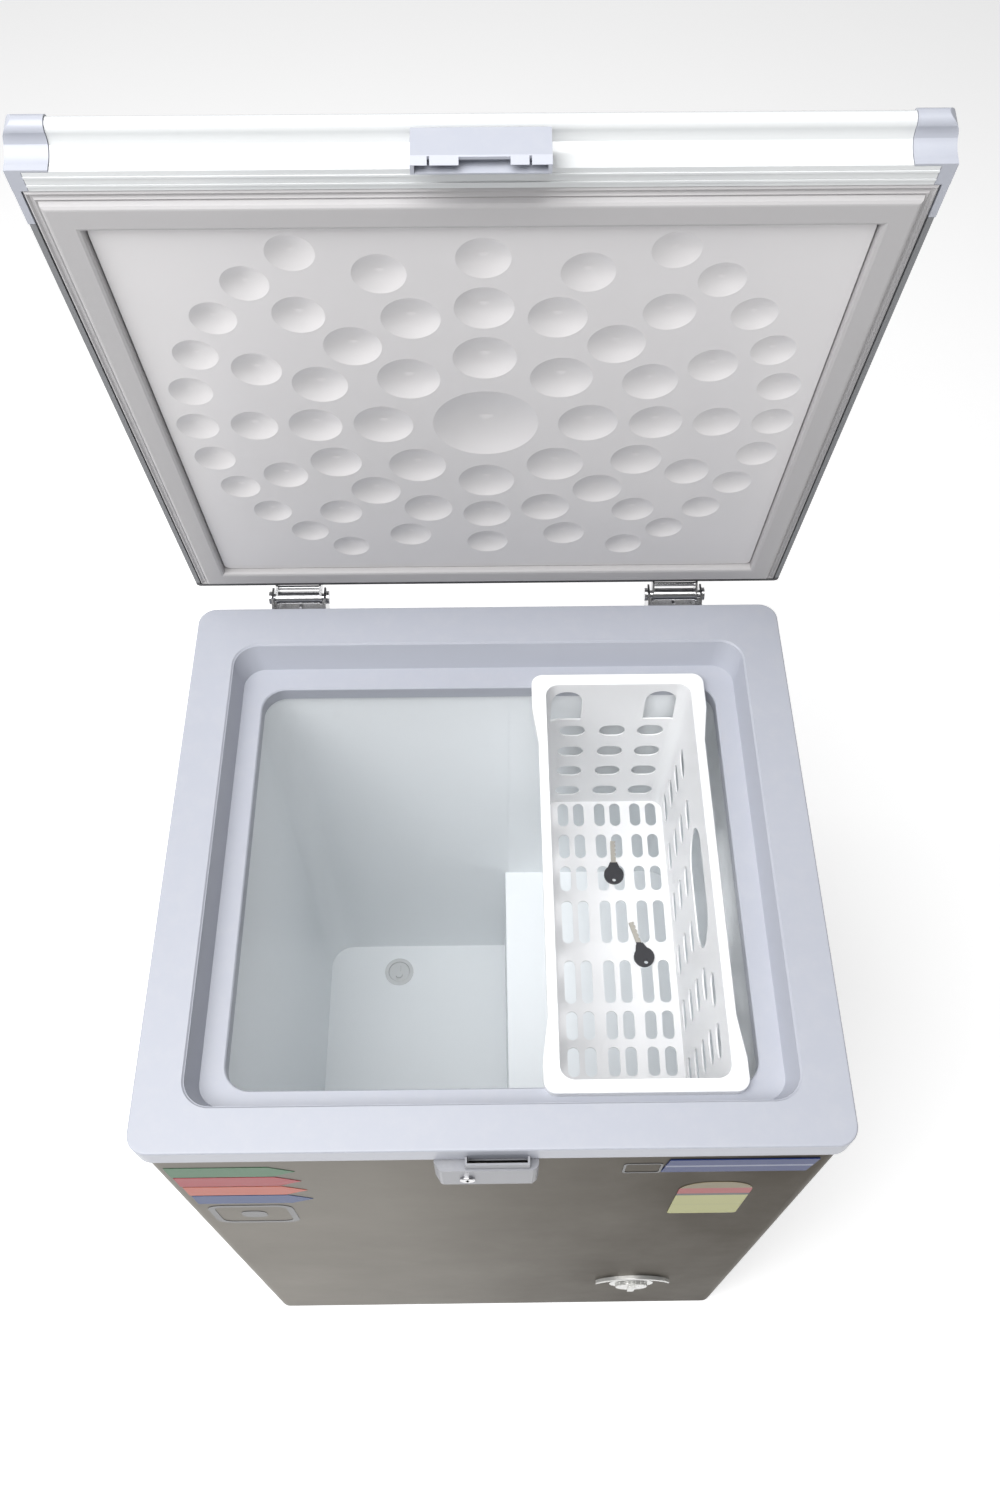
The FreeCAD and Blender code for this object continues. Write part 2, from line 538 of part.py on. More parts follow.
# ---------------------------------------------------------------- compressor bay
def make_compressor():
    r = COMP_R
    pts = [V(0, 0, 40), V(r - 24, 0, 40), V(r - 6, 0, 52), V(r, 0, 68), V(r, 0, 112), V(r + 4, 0, 112),
           V(r + 4, 0, 118), V(r, 0, 118), V(r, 0, 150), V(r - 8, 0, 176), V(r - 26, 0, 192),
           V(0, 0, COMP_TOP), V(0, 0, 40)]
    shell = Part.Face(Part.makePolygon(pts)).revolve(V(0, 0, 0), V(0, 0, 1), 360)
    pts = [V(0, 0, 43), V(r - 25.2, 0, 43), V(r - 8.8, 0, 54), V(r - 3, 0, 69), V(r - 3, 0, 149),
           V(r - 10.6, 0, 174), V(r - 27.4, 0, 189), V(0, 0, COMP_TOP - 3), V(0, 0, 43)]
    shell = shell.cut(Part.Face(Part.makePolygon(pts)).revolve(V(0, 0, 0), V(0, 0, 1), 360))
    shell = moved(shell, COMP_X, COMP_Y, 0)
    stub_a = cyl(COMP_X - r - 14, COMP_Y, STUB_Z, 5.5, 20, RIGHTWARD)
    stub_b = cyl(COMP_X + 20, COMP_Y - r - 12, STUB_Z, 6.5, 24, BACKWARD)
    stub_c = cyl(COMP_X + 40, COMP_Y + 20, 186, 4.5, 24)
    inside = cyl(COMP_X, COMP_Y, 120, r - 3, 29)
    stubs = stub_a.fuse(stub_b).cut(inside).fuse(stub_c)
    put("compressor_shell", shell.fuse(stubs))

    motor = cyl(COMP_X, COMP_Y, 58, 50, 84).fuse(cyl(COMP_X, COMP_Y, 142, 30, 26))
    for k in range(3):
        a = math.radians(120 * k + 30)
        motor = motor.fuse(cyl(COMP_X + 36 * math.cos(a), COMP_Y + 36 * math.sin(a), 43.3, 6, 16))
    put("compressor_motor", motor)

    plate = rbox(COMP_X - 82, COMP_X + 82, COMP_Y - 74, COMP_Y + 74, 36.5, 39.7, 14)
    for x, y in mount_places():
        plate = plate.cut(cyl(x, y, 30, 6.2, 12))
    put("compressor_feet", plate)

    grommets = []
    bolts = []
    for x, y in mount_places():
        body = cyl(x, y, DECK_Z, 11, 36.5 - DECK_Z).fuse(cyl(x, y, 36.5, 6.0, 4.2))
        body = body.fuse(cyl(x, y, 40.0, 10, 3.5))
        body = body.cut(cyl(x, y, 0, 3.2, 60))
        for z in (22.0, 29.0):
            groove = cyl(x, y, z, 12, 2.6).cut(cyl(x, y, z, 9.2, 2.6))
            body = body.cut(groove)
        grommets.append(body)
        bolt = cyl(x, y, FOOT_H - 2.5, 3.0, 48 - FOOT_H + 2.5)
        bolt = bolt.fuse(cyl(x, y, 43.8, 9.0, 1.6)).fuse(hexagon(x, y, 45.4, 5.5, 5.0))
        bolts.append(bolt.fuse(hexagon(x, y, FOOT_H - 4.2, 5.5, 4.0)))
    put("compressor_grommets", *grommets)
    put("compressor_bolts", *bolts)

    relay = box(COMP_X - 42, COMP_X - 4, COMP_Y - r - 34, COMP_Y - r + 5, 92, 132)
    relay = relay.cut(cyl(COMP_X, COMP_Y, 80, r + 4.3, 70))
    front_edges = [e for e in relay.Edges if abs(e.CenterOfMass.y - (COMP_Y - r - 34)) < 0.01]
    put("start_relay", relay.makeFillet(2.0, front_edges))

    drier = cyl(DRIER_X, DRIER_Y, 92, 9.5, 82)
    drier = drier.fuse(Part.makeCone(9.5, 3.4, 14, V(DRIER_X, DRIER_Y, 174)))
    drier = drier.fuse(Part.makeCone(3.4, 9.5, 14, V(DRIER_X, DRIER_Y, 78)))
    put("filter_drier", drier)

    over = (COMP_TOP + BAY_TOP) / 2.0 - 6.0
    x, y = BAY_X + 12, COMP_Y - 92
    discharge = tube([(COMP_X - r - 14.2, COMP_Y, STUB_Z), (x, COMP_Y, STUB_Z), (x, y, STUB_Z),
                      (x, y, over - 10), (BAY_X + 0.2, y, over - 10)], 3.2, 7.5)
    put("discharge_pipe", discharge)
    x, y = COMP_X + 20, COMP_Y - 124
    suction = tube([(x, COMP_Y - r - 12.2, STUB_Z), (x, y, STUB_Z), (x, y, over), (x, y + 72, over),
                    (x, y + 72, BAY_TOP - 0.2)], 4.2, 12.0)
    put("suction_pipe", suction)
    x = COMP_X - 20
    liquid = tube([(DRIER_X, DRIER_Y, 77.8), (DRIER_X, DRIER_Y, 50), (x, DRIER_Y, 50), (x, DRIER_Y, 70),
                   (BAY_X + 0.2, DRIER_Y, 70)], 3.0, 8.0)
    put("condenser_return_pipe", liquid)
    x, y, z = DRIER_X - 33, DRIER_Y + 40, 225
    capillary = tube([(DRIER_X, DRIER_Y, 188.2), (DRIER_X, DRIER_Y, z), (DRIER_X, y, z), (x, y, z),
                      (x, DRIER_Y, z), (x, DRIER_Y, BAY_TOP - 0.2)], 1.4, 9.0)
    put("capillary_tube", capillary)


def hexagon(x, y, z, r, h):
    pts = []
    for k in range(6):
        a = math.radians(60 * k)
        pts.append((x + r * math.cos(a), y + r * math.sin(a)))
    return slab_z(pts, z, z + h)


def make_rear_cover():
    x0, x1 = BAY_X + 2, SKIN_X - 16
    z0, z1 = DECK_Z + 2, BAY_TOP - 3
    y = SKIN_Y + 0.1
    plate = box(x0, x1, y, y + 1.4, z0, z1)
    slot = turned(stadium(74, 5.5, 6), V(0, 0, 0), RIGHTWARD, 90)
    cutters = []
    hoods = []
    for col in (-1, 1):
        for row in range(int((z1 - z0 - 99.0) / 19.0) + 1):
            cx = (x0 + x1) / 2 + col * 44
            cz = z0 + 44 + row * 19
            cutters.append(moved(slot, cx, y + 0.7, cz))
            lip = [(y + 1.2, cz + 5.2), (y + 5.2, cz + 3.4), (y + 5.2, cz + 2.4), (y + 1.2, cz + 3.8)]
            hoods.append(slab_x(lip, cx - 36, cx + 36))
    for c in cutters:
        plate = plate.cut(c)
    for h in hoods:
        plate = plate.fuse(h)
    gland = cyl(GLAND_X, y - 1, GLAND_Z, 9.2, 6, BACKWARD)
    plate = plate.cut(gland)
    for x, z in cover_screw_places():
        plate = plate.cut(cyl(x, y - 1, z, 2.1, 4, BACKWARD))
    put("rear_cover", plate)

    screws = []
    for x, z in cover_screw_places():
        screws.append(screw(x, y + 1.4, z, V(0, -1, 0), 4.2, 2.4, 1.9, 1.3))
    put("rear_cover_screws", *screws)

    body = cyl(GLAND_X, y - 4, GLAND_Z, 9.0, 7.0, BACKWARD)
    body = body.fuse(cyl(GLAND_X, y + 1.6, GLAND_Z, 12.5, 3.6, BACKWARD))
    body = body.fuse(cyl(GLAND_X, y - 5.0, GLAND_Z, 11.0, 4.6, BACKWARD))
    body = body.cut(cyl(GLAND_X, y - 8, GLAND_Z, 4.0, 30, BACKWARD))
    put("cord_gland", body)


def cover_screw_places():
    x0, x1 = BAY_X + 2, SKIN_X - 16
    z0, z1 = DECK_Z + 2, BAY_TOP - 3
    return [(x0 + 2.6 + 2, z0 + 12), (x0 + 4.6, z1 - 12), (x1 - 4.6 + 2, z0 + 28), (x1 - 2.6, z1 - 12)]


# ---------------------------------------------------------------- thermostat
def make_thermostat():
    y = -SKIN_Y
    arch = cyl(KNOB_X, y - 4.4, KNOB_Z, ARCH_R, 4.3, BACKWARD)
    arch = arch.cut(cyl(KNOB_X, y - 5, KNOB_Z - 9.0, ARCH_R + 3.0, 6, BACKWARD))
    reach = ARCH_R * 0.925
    arch = arch.common(box(KNOB_X - reach, KNOB_X + reach, y - 5, y, KNOB_Z, KNOB_Z + 2 * ARCH_R))
    front = [e for e in arch.Edges if abs(e.CenterOfMass.y - (y - 4.4)) < 0.01]
    crown = max(front, key=lambda e: e.CenterOfMass.z)
    put("thermostat_arch", arch.makeFillet(0.9, [crown]))

    dial = cyl(KNOB_X, y - 1.3, KNOB_Z, 26.0, 1.2, BACKWARD)
    put("thermostat_dial_plate", dial.cut(cyl(KNOB_X, y - 4, KNOB_Z, 5.0, 8, BACKWARD)))

    knob = cyl(KNOB_X, y - 5.6, KNOB_Z, KNOB_R, 4.0, BACKWARD)
    front_edges = [e for e in knob.Edges if abs(e.CenterOfMass.y - (y - 5.6)) < 0.01]
    knob = knob.makeFillet(1.2, front_edges)
    for k in range(18):
        a = math.radians(20 * k)
        cx = KNOB_X + (KNOB_R + 0.6) * math.cos(a)
        cz = KNOB_Z + (KNOB_R + 0.6) * math.sin(a)
        knob = knob.cut(cyl(cx, y - 6, cz, 1.4, 5, BACKWARD))
    grip = box(KNOB_X - 4.0, KNOB_X + 4.0, y - 8.2, y - 5.0, KNOB_Z - KNOB_R + 3, KNOB_Z + KNOB_R - 3)
    grip_edges = [e for e in grip.Edges if abs(e.CenterOfMass.y - (y - 8.2)) < 0.01]
    knob = knob.fuse(grip.makeFillet(1.0, grip_edges))
    knob = knob.fuse(cyl(KNOB_X, y - 3, KNOB_Z, 4.2, 5.5, BACKWARD))
    notch = box(KNOB_X - 0.8, KNOB_X + 0.8, y - 9.0, y - 7.6, KNOB_Z + 4, KNOB_Z + KNOB_R - 2.9)
    put("thermostat_knob", knob.cut(notch))

    case = box(KNOB_X - 24, KNOB_X + 24, y + SHEET + 1.7, y + 36, KNOB_Z - 20, KNOB_Z + 20)
    case = case.cut(cyl(KNOB_X, y + 2, KNOB_Z, 4.6, 6, BACKWARD))
    tab = box(KNOB_X - 30, KNOB_X + 30, y + SHEET + 0.1, y + SHEET + 1.8, KNOB_Z - 15, KNOB_Z + 15)
    tab = tab.cut(cyl(KNOB_X, y, KNOB_Z, 6.0, 6, BACKWARD))
    put("thermostat_body", case.fuse(tab))

    line = tube([(KNOB_X - 10, y + 36.2, KNOB_Z + 8), (KNOB_X - 10, y + 70, KNOB_Z + 8),
                 (KNOB_X - 10, y + 70, KNOB_Z + 55), (BAY_X + 20, y + 70, KNOB_Z + 55),
                 (BAY_X + 20, y + 70, BAY_TOP - 0.2)],
                1.2, 10.0)
    put("thermostat_sensor_line", line)


# ---------------------------------------------------------------- lock on the front of the rim
def make_lock():
    face = -HD - LOCK_OUT
    back = -SKIN_Y - 0.3
    z0, z1 = LOCK_TOP - LOCK_H, LOCK_TOP
    plan = [(LOCK_L + 3, back), (LOCK_L, back - 4), (LOCK_L + 4.5, face + 1), (LOCK_L + 6.5, face),
            (LOCK_R - 5, face), (LOCK_R - 1.5, face + 2.5), (LOCK_R, face + 6), (LOCK_R, back)]
    body = slab_z(plan, z0, z1)
    body = body.cut(box(LOCK_L + 7, LOCK_R - 2, face + 2, back + 1, z0 + 2, z1 - 2))
    body = body.cut(cyl(BARREL_X, face - 1, BARREL_Z, BARREL_R + 0.05, 6, BACKWARD))
    fy0, fy1 = face + 1.5, -HD - 0.3
    collar = box(FENCE_L, FENCE_R, fy0, fy1, z1 - 1, FENCE_TOP)
    collar = collar.cut(box(FENCE_L + 1.6, FENCE_R - 1.6, fy0 + 1.6, fy1 + 1, z1 - 2, FENCE_TOP + 1))
    body = body.cut(box(FENCE_L + 1.6, FENCE_R - 1.6, fy0 + 1.6, fy1, z1 - 4, z1 + 1))
    put("lock_housing", body.fuse(collar).removeSplitter())

    barrel = cyl(BARREL_X, face - 2.5, BARREL_Z, BARREL_R, 11.5, BACKWARD)
    nose = [e for e in barrel.Edges if abs(e.CenterOfMass.y - (face - 2.5)) < 0.01]
    barrel = barrel.makeFillet(1.0, nose)
    keyway = box(BARREL_X - 0.7, BARREL_X + 0.7, face - 3, face + 3.0, BARREL_Z - 3.6, BARREL_Z + 3.6)
    barrel = barrel.cut(keyway)
    barrel = barrel.cut(cyl(BARREL_X, face - 3, BARREL_Z, 1.6, 5.0, BACKWARD))
    put("lock_barrel", barrel)
    cam_y = face + 9.0
    cam = cyl(BARREL_X, cam_y, BARREL_Z, 6.0, 2.0, BACKWARD)
    cam = cam.fuse(box(BARREL_X, BARREL_X + 15.0, cam_y, cam_y + 2.0, BARREL_Z - 4.0, BARREL_Z + 4.0))
    put("lock_cam", cam)


# ---------------------------------------------------------------- hinges
def make_hinges():
    brackets = []
    pins = []
    screws = []
    plate_low = RIM_TOP - 102.0
    for x in HINGE_X:
        back = box(x - 24.5, x + 24.5, SKIN_Y + 1.9, SKIN_Y + 4.0, plate_low, RIM_TOP - RIM_SKIRT - 3)
        back = back.cut(box(x - 19, x + 19, SKIN_Y - 1, SKIN_Y + 6, plate_low + 26, plate_low + 34))
        places = [(x + dx, z) for dx in PLATE_SCREW_X for z in PLATE_SCREW_Z]
        for sx, z in places:
            back = back.fuse(cyl(sx, SKIN_Y + 0.1, z, 4.5, 2.2, BACKWARD))
            back = back.cut(cyl(sx, SKIN_Y - 1, z, 2.2, 8, BACKWARD))
        ear = [(SKIN_Y + 1.9, plate_low), (SKIN_Y + 12, plate_low + 14), (AXIS_Y + 8, AXIS_Z - 20),
               (AXIS_Y + 10, AXIS_Z - 4), (AXIS_Y + 7, AXIS_Z + 7), (AXIS_Y - 7, AXIS_Z + 7),
               (HD + 0.8, AXIS_Z), (HD + 0.8, RIM_TOP - RIM_SKIRT - 3),
               (SKIN_Y + 1.9, RIM_TOP - RIM_SKIRT - 3)]
        bracket = back
        for x0 in (x - 26.5, x + 24.5):
            bracket = bracket.fuse(slab_x(ear, x0, x0 + 2.0))
        web = box(x - 24.5, x + 24.5, HD + 0.8, AXIS_Y + 8.0, AXIS_Z - 14.5, AXIS_Z - 12.5)
        fin = box(x - 1.2, x + 1.2, HD + 3.0, AXIS_Y + 4.0, AXIS_Z - 12.6, AXIS_Z - 8.6)
        bracket = bracket.fuse(web).fuse(fin)
        bracket = bracket.cut(cyl(x - 30, AXIS_Y, AXIS_Z, PIN_R + 0.02, 60, RIGHTWARD))
        brackets.append(bracket.removeSplitter())

        pin = cyl(x - 27.0, AXIS_Y, AXIS_Z, PIN_R, 54.0, RIGHTWARD)
        pin = pin.fuse(cyl(x - 29.4, AXIS_Y, AXIS_Z, 6.4, 2.6, RIGHTWARD))
        pin = pin.fuse(cyl(x + 26.8, AXIS_Y, AXIS_Z, 6.4, 2.6, RIGHTWARD))
        pins.append(pin)
        for sx, z in places:
            screws.append(screw(sx, SKIN_Y + 4.0, z, V(0, -1, 0), 4.6, 2.6, 2.0, 12.0))
    put("hinge_brackets", *brackets)
    put("hinge_pins", *pins)
    put("hinge_cabinet_screws", *screws)


def make_leaves():
    leaves = []
    rods = []
    screws = []
    for x in HINGE_X:
        leaf = box(x - 23, x + 23, LEAF_Y, LEAF_Y + 2.2, RIM_TOP + 10, RIM_TOP + 39)
        cheek = [(LEAF_Y, RIM_TOP + 34), (LEAF_Y, RIM_TOP + 5), (AXIS_Y - 6.6, AXIS_Z - 2.4),
                 (AXIS_Y, AXIS_Z - 2), (AXIS_Y + 4, AXIS_Z + 5.5), (LEAF_Y + 8, RIM_TOP + 22)]
        for x0 in (x - 22.2, x + 20.2):
            leaf = leaf.fuse(slab_x(cheek, x0, x0 + 2.0))
            leaf = leaf.fuse(cyl(x0, AXIS_Y, AXIS_Z, 7.0, 2.0, RIGHTWARD))
        leaf = leaf.fuse(cyl(x - 20.4, AXIS_Y, AXIS_Z, 6.2, 40.8, RIGHTWARD))
        leaf = leaf.cut(cyl(x - 30, AXIS_Y, AXIS_Z, PIN_R + 0.06, 60, RIGHTWARD))
        for dx in LEAF_SCREW_X:
            leaf = leaf.cut(cyl(x + dx, LEAF_Y - 1, LEAF_SCREW_Z, 2.2, 5, BACKWARD))
        leaves.append(open_lid(leaf.removeSplitter()))
        rods.append(open_lid(cyl(x - 20.2, AXIS_Y - 5.2, AXIS_Z + 8.4, 2.2, 40.4, RIGHTWARD)))
        rods.append(open_lid(cyl(x - 20.2, AXIS_Y - 6.0, AXIS_Z + 16.0, 2.2, 40.4, RIGHTWARD)))
        for dx in LEAF_SCREW_X:
            one = screw(x + dx, LEAF_Y + 2.2, LEAF_SCREW_Z, V(0, -1, 0), 4.4, 2.4, 2.0, 12.0)
            screws.append(open_lid(one))
    put("hinge_leaves", *leaves)
    put("hinge_spring_rods", *rods)
    put("hinge_lid_screws", *screws)


# ---------------------------------------------------------------- lid
def trim_profile(x, out):
    """Coved front profile in the plane X = x, grown outwards by out."""
    def p(forward, z):
        return V(x, TRIM_BACK - forward, z)
    a = p(0.0, LB)
    b = p(TRIM_BAND + out, LB)
    c = p(TRIM_BAND + 0.4 + out, LB + 4.0)
    d_mid = p(TRIM_BAND + 1.3 + out, LB + 10.8)
    d = p(TRIM_BAND + 4.2 + out, LB + 16.2 - 0.4 * out)
    e_mid = p(22.8 + out, LB + 17.8 - 0.6 * out)
    e = p(26.4 + out, LB + 18.2 - 0.8 * out)
    f_mid = p(30.4 + out, LB + 20.2 - 0.4 * out)
    f = p(31.5 + out, LB + 24.0)
    g_mid = p(30.1 + out, LB + 27.6 + 0.6 * out)
    g = p(26.2 + 0.4 * out, LB + 29.4 + out)
    h_mid = p(16.2, LB + 32.6 + out)
    h = p(5.2, LT + out)
    k = p(0.0, LT + out)
    edges = [
        Part.LineSegment(a, b).toShape(),
        Part.LineSegment(b, c).toShape(),
        Part.Arc(c, d_mid, d).toShape(),
        Part.Arc(d, e_mid, e).toShape(),
        Part.Arc(e, f_mid, f).toShape(),
        Part.Arc(f, g_mid, g).toShape(),
        Part.Arc(g, h_mid, h).toShape(),
        Part.LineSegment(h, k).toShape(),
        Part.LineSegment(k, a).toShape(),
    ]
    return Part.Face(Part.Wire(edges))


def make_lid_shell():
    core = box(-CAP_X, CAP_X, TRIM_BACK - 11.0, TRIM_BACK + 1, LB + 5.6, LT - 2.0)
    trim = trim_profile(-CAP_X + 0.15, 0.0).extrude(V(2 * CAP_X - 0.3, 0, 0)).cut(core)
    under_cap = LID_HALF - 9.0
    trim = trim.fuse(box(-under_cap, under_cap, TRIM_BACK - 14.4, TRIM_BACK, LB, LB + 1.4))
    for forward in TRIM_RIBS:
        y = TRIM_BACK - forward
        trim = trim.fuse(box(-under_cap, under_cap, y - 0.7, y + 0.7, LB - 0.7, LB + 0.2))
    put("lid_front_trim", open_lid(trim.removeSplitter()))

    flank_y = TRIM_BACK + 26.8
    for side, s in (("left", -1), ("right", 1)):
        cap = trim_profile(CAP_X + 0.15, 1.0).extrude(V(LID_HALF + 1.0 - CAP_X - 0.15, 0, 0))
        cap = cap.cut(box(CAP_X - 1, CAP_X + 20, TRIM_BACK - 9.8, TRIM_BACK + 1, LB + 4.0, LT - 1.2))
        cap = cap.cut(box(CAP_X - 1, under_cap + 0.3, TRIM_BACK - 14.7, TRIM_BACK + 1, LB - 1, LB + 1.7))
        plan = rbox(0, LID_HALF + 1.0, -HD - 12.0, 0, LB - 5, LT + 5, (0, 14.0, 0, 0))
        cap = cap.common(plan)
        flank = box(LID_HALF - 3.8, LID_HALF + 0.8, TRIM_BACK - 0.1, flank_y, LB, LB + 9.0)
        cap = cap.fuse(flank.cut(box(0, LID_HALF - 0.9, TRIM_BACK - 1.2, flank_y + 1, LB + 4.3, LB + 20)))
        if s < 0:
            cap = cap.mirror(V(0, 0, 0), RIGHTWARD)
        put("lid_corner_cap_" + side, open_lid(cap))

    y0, y1 = TRIM_BACK + GAP, HD + 1.0
    outer = rbox(-LID_HALF + 0.6, LID_HALF - 0.6, y0, y1, LB + 9.6, LT, (0, 0, 8, 8))
    outer = round_panel_top(outer, LT, 5.0)
    inner = rbox(-LID_HALF + 1.6, LID_HALF - 1.6, y0 - 9, y1 - 1.0, LB + 9.0, LT - 1.0, (0, 0, 7, 7))
    inner = round_panel_top(inner, LT - 1.0, 4.0)
    panel = outer.cut(inner)
    for x in HINGE_X:
        for dx in LEAF_SCREW_X:
            panel = panel.cut(cyl(x + dx, y1 - 3, LEAF_SCREW_Z, 2.2, 5, BACKWARD))
    put("lid_top_panel", open_lid(panel))

    strips = []
    for s in (-1, 1):
        strip = box(EDGE_X, LID_HALF, flank_y + GAP, y1 - 6.2, LB, LB + 4.2)
        strip = strip.fuse(box(LID_HALF - 1.2, LID_HALF, flank_y + GAP, y1 - 6.2, LB, LB + 9.3))
        if s < 0:
            strip = strip.mirror(V(0, 0, 0), RIGHTWARD)
        strips.append(open_lid(strip.removeSplitter()))
    put("lid_side_trims", *strips)

    rear = box(-LID_HALF, LID_HALF, y1 - 1.0, y1, LB, LB + 9.3)
    rear = rear.fuse(box(-LID_HALF, LID_HALF, y1 - 3.6, y1, LB, LB + 4.2))
    for s in (-1, 1):
        x0, x1 = sorted((s * EDGE_X, s * LID_HALF))
        rear = rear.fuse(box(x0, x1, y1 - 5.9, y1 - 3.0, LB, LB + 4.2))
    rear = rear.common(rbox(-LID_HALF, LID_HALF, y1 - 50, y1, LB - 1, LB + 12, (0, 0, 4, 4)))
    put("lid_rear_trim", open_lid(rear.removeSplitter()))


def round_panel_top(shape, level, r):
    """Round the side and back top edges, leaving the front edge that meets the trim."""
    chosen = []
    for e in shape.Edges:
        b = e.BoundBox
        at_level = abs(b.ZMin - level) < 1e-4 and abs(b.ZMax - level) < 1e-4
        if at_level and b.YMax > TRIM_BACK + 10:
            chosen.append(e)
    return shape.makeFillet(r, chosen)


def dimple_places():
    """Centre x, centre y, mouth radius, depth of every dimple on the lid liner."""
    places = [(0.0, LINER_MID_Y, PATTERN * DIMPLE_CENTRE_R, 9.0)]
    for ring_r, r, depth, step in DIMPLE_RINGS:
        count = int(round(360.0 / step))
        last_ring = ring_r == DIMPLE_RINGS[-1][0]
        for k in range(count):
            a = step * k
            from_level = min(a % 180.0, 180.0 - a % 180.0)
            if last_ring and from_level > DIMPLE_SIDE_LIMIT:
                continue
            x = PATTERN * ring_r * math.cos(math.radians(a))
            y = LINER_MID_Y + PATTERN * ring_r * math.sin(math.radians(a))
            places.append((x, y, PATTERN * r, depth))
    return places


def dimple_cap(x, y, z, r, depth, grow, skirt):
    """Spherical cap rising from height z, grown outwards by grow, with a short skirt below z."""
    radius = (r * r + depth * depth) / (2.0 * depth)
    centre_z = z + depth - radius
    rr = radius + grow
    low = math.degrees(math.asin((z - skirt - centre_z) / rr))
    cap = Part.makeSphere(rr, V(0, 0, 0), V(0, 0, 1), low, 90.0, 360.0)
    return moved(cap, x, y, centre_z)


def make_lid_inside():
    base = LB + 4.6
    field = base - FIELD_DROP
    inset = GASKET_W + 0.6
    xi, ya, yb = GASKET_X - inset, GASKET_FRONT + inset, GASKET_BACK - inset

    def tray(in_low, in_high, low, high):
        """Shallow tray shape between two levels, set in from the gasket's inner edge."""
        return taper((-xi + in_low, xi - in_low, ya + in_low, yb - in_low, low, 6),
                     (-xi + in_high, xi - in_high, ya + in_high, yb - in_high, high, 7))

    liner = rbox(-GASKET_X - 0.4, GASKET_X + 0.4, GASKET_FRONT + 0.2, GASKET_BACK, base, base + 0.9, 3)
    liner = liner.fuse(tray(0.5, 0.0, field, base + 0.4))
    liner = liner.cut(tray(1.4, 0.9, field + 0.9, base + 1.2))
    places = dimple_places()
    liner = liner.fuse([dimple_cap(x, y, field, r, d, 0.9, -0.3) for x, y, r, d in places])
    liner = liner.cut([dimple_cap(x, y, field, r, d, 0.0, 0.6) for x, y, r, d in places])
    put("lid_liner", open_lid(liner))

    edge = LID_HALF - 1.9
    foam = rbox(-edge, edge, TRIM_BACK + 0.6, HD - 0.3, base + 5.0, LT - 1.3, (0, 0, 6.7, 6.7))
    foam = round_panel_top(foam, LT - 1.3, 4.0)
    foam = foam.fuse(box(-GASKET_X - 0.1, GASKET_X + 0.1, TRIM_BACK + 0.6, HD - 3.2, base + 1.2, base + 5.1))
    foam = foam.fuse(tray(1.9, 1.3, field + 1.3, base + 2.0))
    foam = foam.cut([dimple_cap(x, y, field, r, d, 1.4, 0.2) for x, y, r, d in places])
    for x in HINGE_X:
        for dx in LEAF_SCREW_X:
            foam = foam.cut(cyl(x + dx, HD - 14, LEAF_SCREW_Z, 3.0, 16, BACKWARD))
    put("lid_foam", open_lid(foam))

    put("lid_gasket", open_lid(gasket_ring()))


def gasket_ring():
    """Mitred magnetic gasket: two fine outer ribs and a broad flat crest."""
    top = LB + 4.3
    crest = RIM_TOP + GASKET_CREST
    x0, y0, y1 = GASKET_X, GASKET_FRONT, GASKET_BACK
    profile = [(0.0, top), (0.0, LB + 0.6), (1.4, LB - 0.6), (2.8, LB + 0.6), (4.0, LB + 0.6),
               (5.4, LB - 1.0), (6.8, LB - 0.2), (8.0, crest + 1.6), (9.4, crest + 0.3), (10.6, crest),
               (GASKET_W - 3.0, crest), (GASKET_W - 1.0, crest + 0.8), (GASKET_W, crest + 2.6),
               (GASKET_W, top)]
    wires = []
    for u, z in profile:
        wires.append(outline(-x0 + u, x0 - u, y0 + u, y1 - u, z, 0.0))
    faces = []
    for i in range(len(wires)):
        a = wires[i]
        b = wires[(i + 1) % len(wires)]
        for ea, eb in zip(a.Edges, b.Edges):
            p1, p2 = ea.Vertexes[0].Point, ea.Vertexes[-1].Point
            q1, q2 = eb.Vertexes[0].Point, eb.Vertexes[-1].Point
            faces.append(Part.Face(Part.makePolygon([p1, p2, q2, q1, p1])))
    shell = Part.makeShell(faces)
    shell.sewShape()
    ring = Part.makeSolid(shell)
    if ring.Volume < 0:
        ring.reverse()
    return ring


def make_handle():
    left, right = -42.0, 41.0
    front = -HD - 14.0
    back = front + 25.8
    z0 = RIM_TOP - 10.5
    z1 = RIM_TOP + 17.5
    face = [(front, z0 + 5.5), (front, z1 - 1.5), (front + 1.5, z1), (front + 21.0, z1), (back, z1 - 3.5),
            (back, LB + 1.0), (front + 10.5, LB + 1.0), (front + 10.5, z0 + 2), (front + 9.0, z0),
            (front + 2.0, z0)]
    body = slab_x(face, left, right)
    body = body.cut(box(left + 2.4, right - 2.4, front + 2.4, front + 8.0, z0 - 1, z0 + 9.0))
    body = body.cut(box(left + 2.4, right - 2.4, front + 9.5, back + 1.2, LB + 0.5, z1 - 3.0))
    body = body.cut(trim_profile(left - 18, 0.25).extrude(V(right - left + 37, 0, 0)))
    body = body.cut(box(-13.6, 16.6, front - 1, front + 5.0, z0 - 1, z0 + 4.5))
    for x in (-31.3, 28.3):
        body = body.cut(box(x - 0.75, x + 0.75, front - 1, front + 4.0, z0 - 1, z0 + 5.0))
    put("lid_handle", open_lid(max(body.Solids, key=lambda s: s.Volume)))


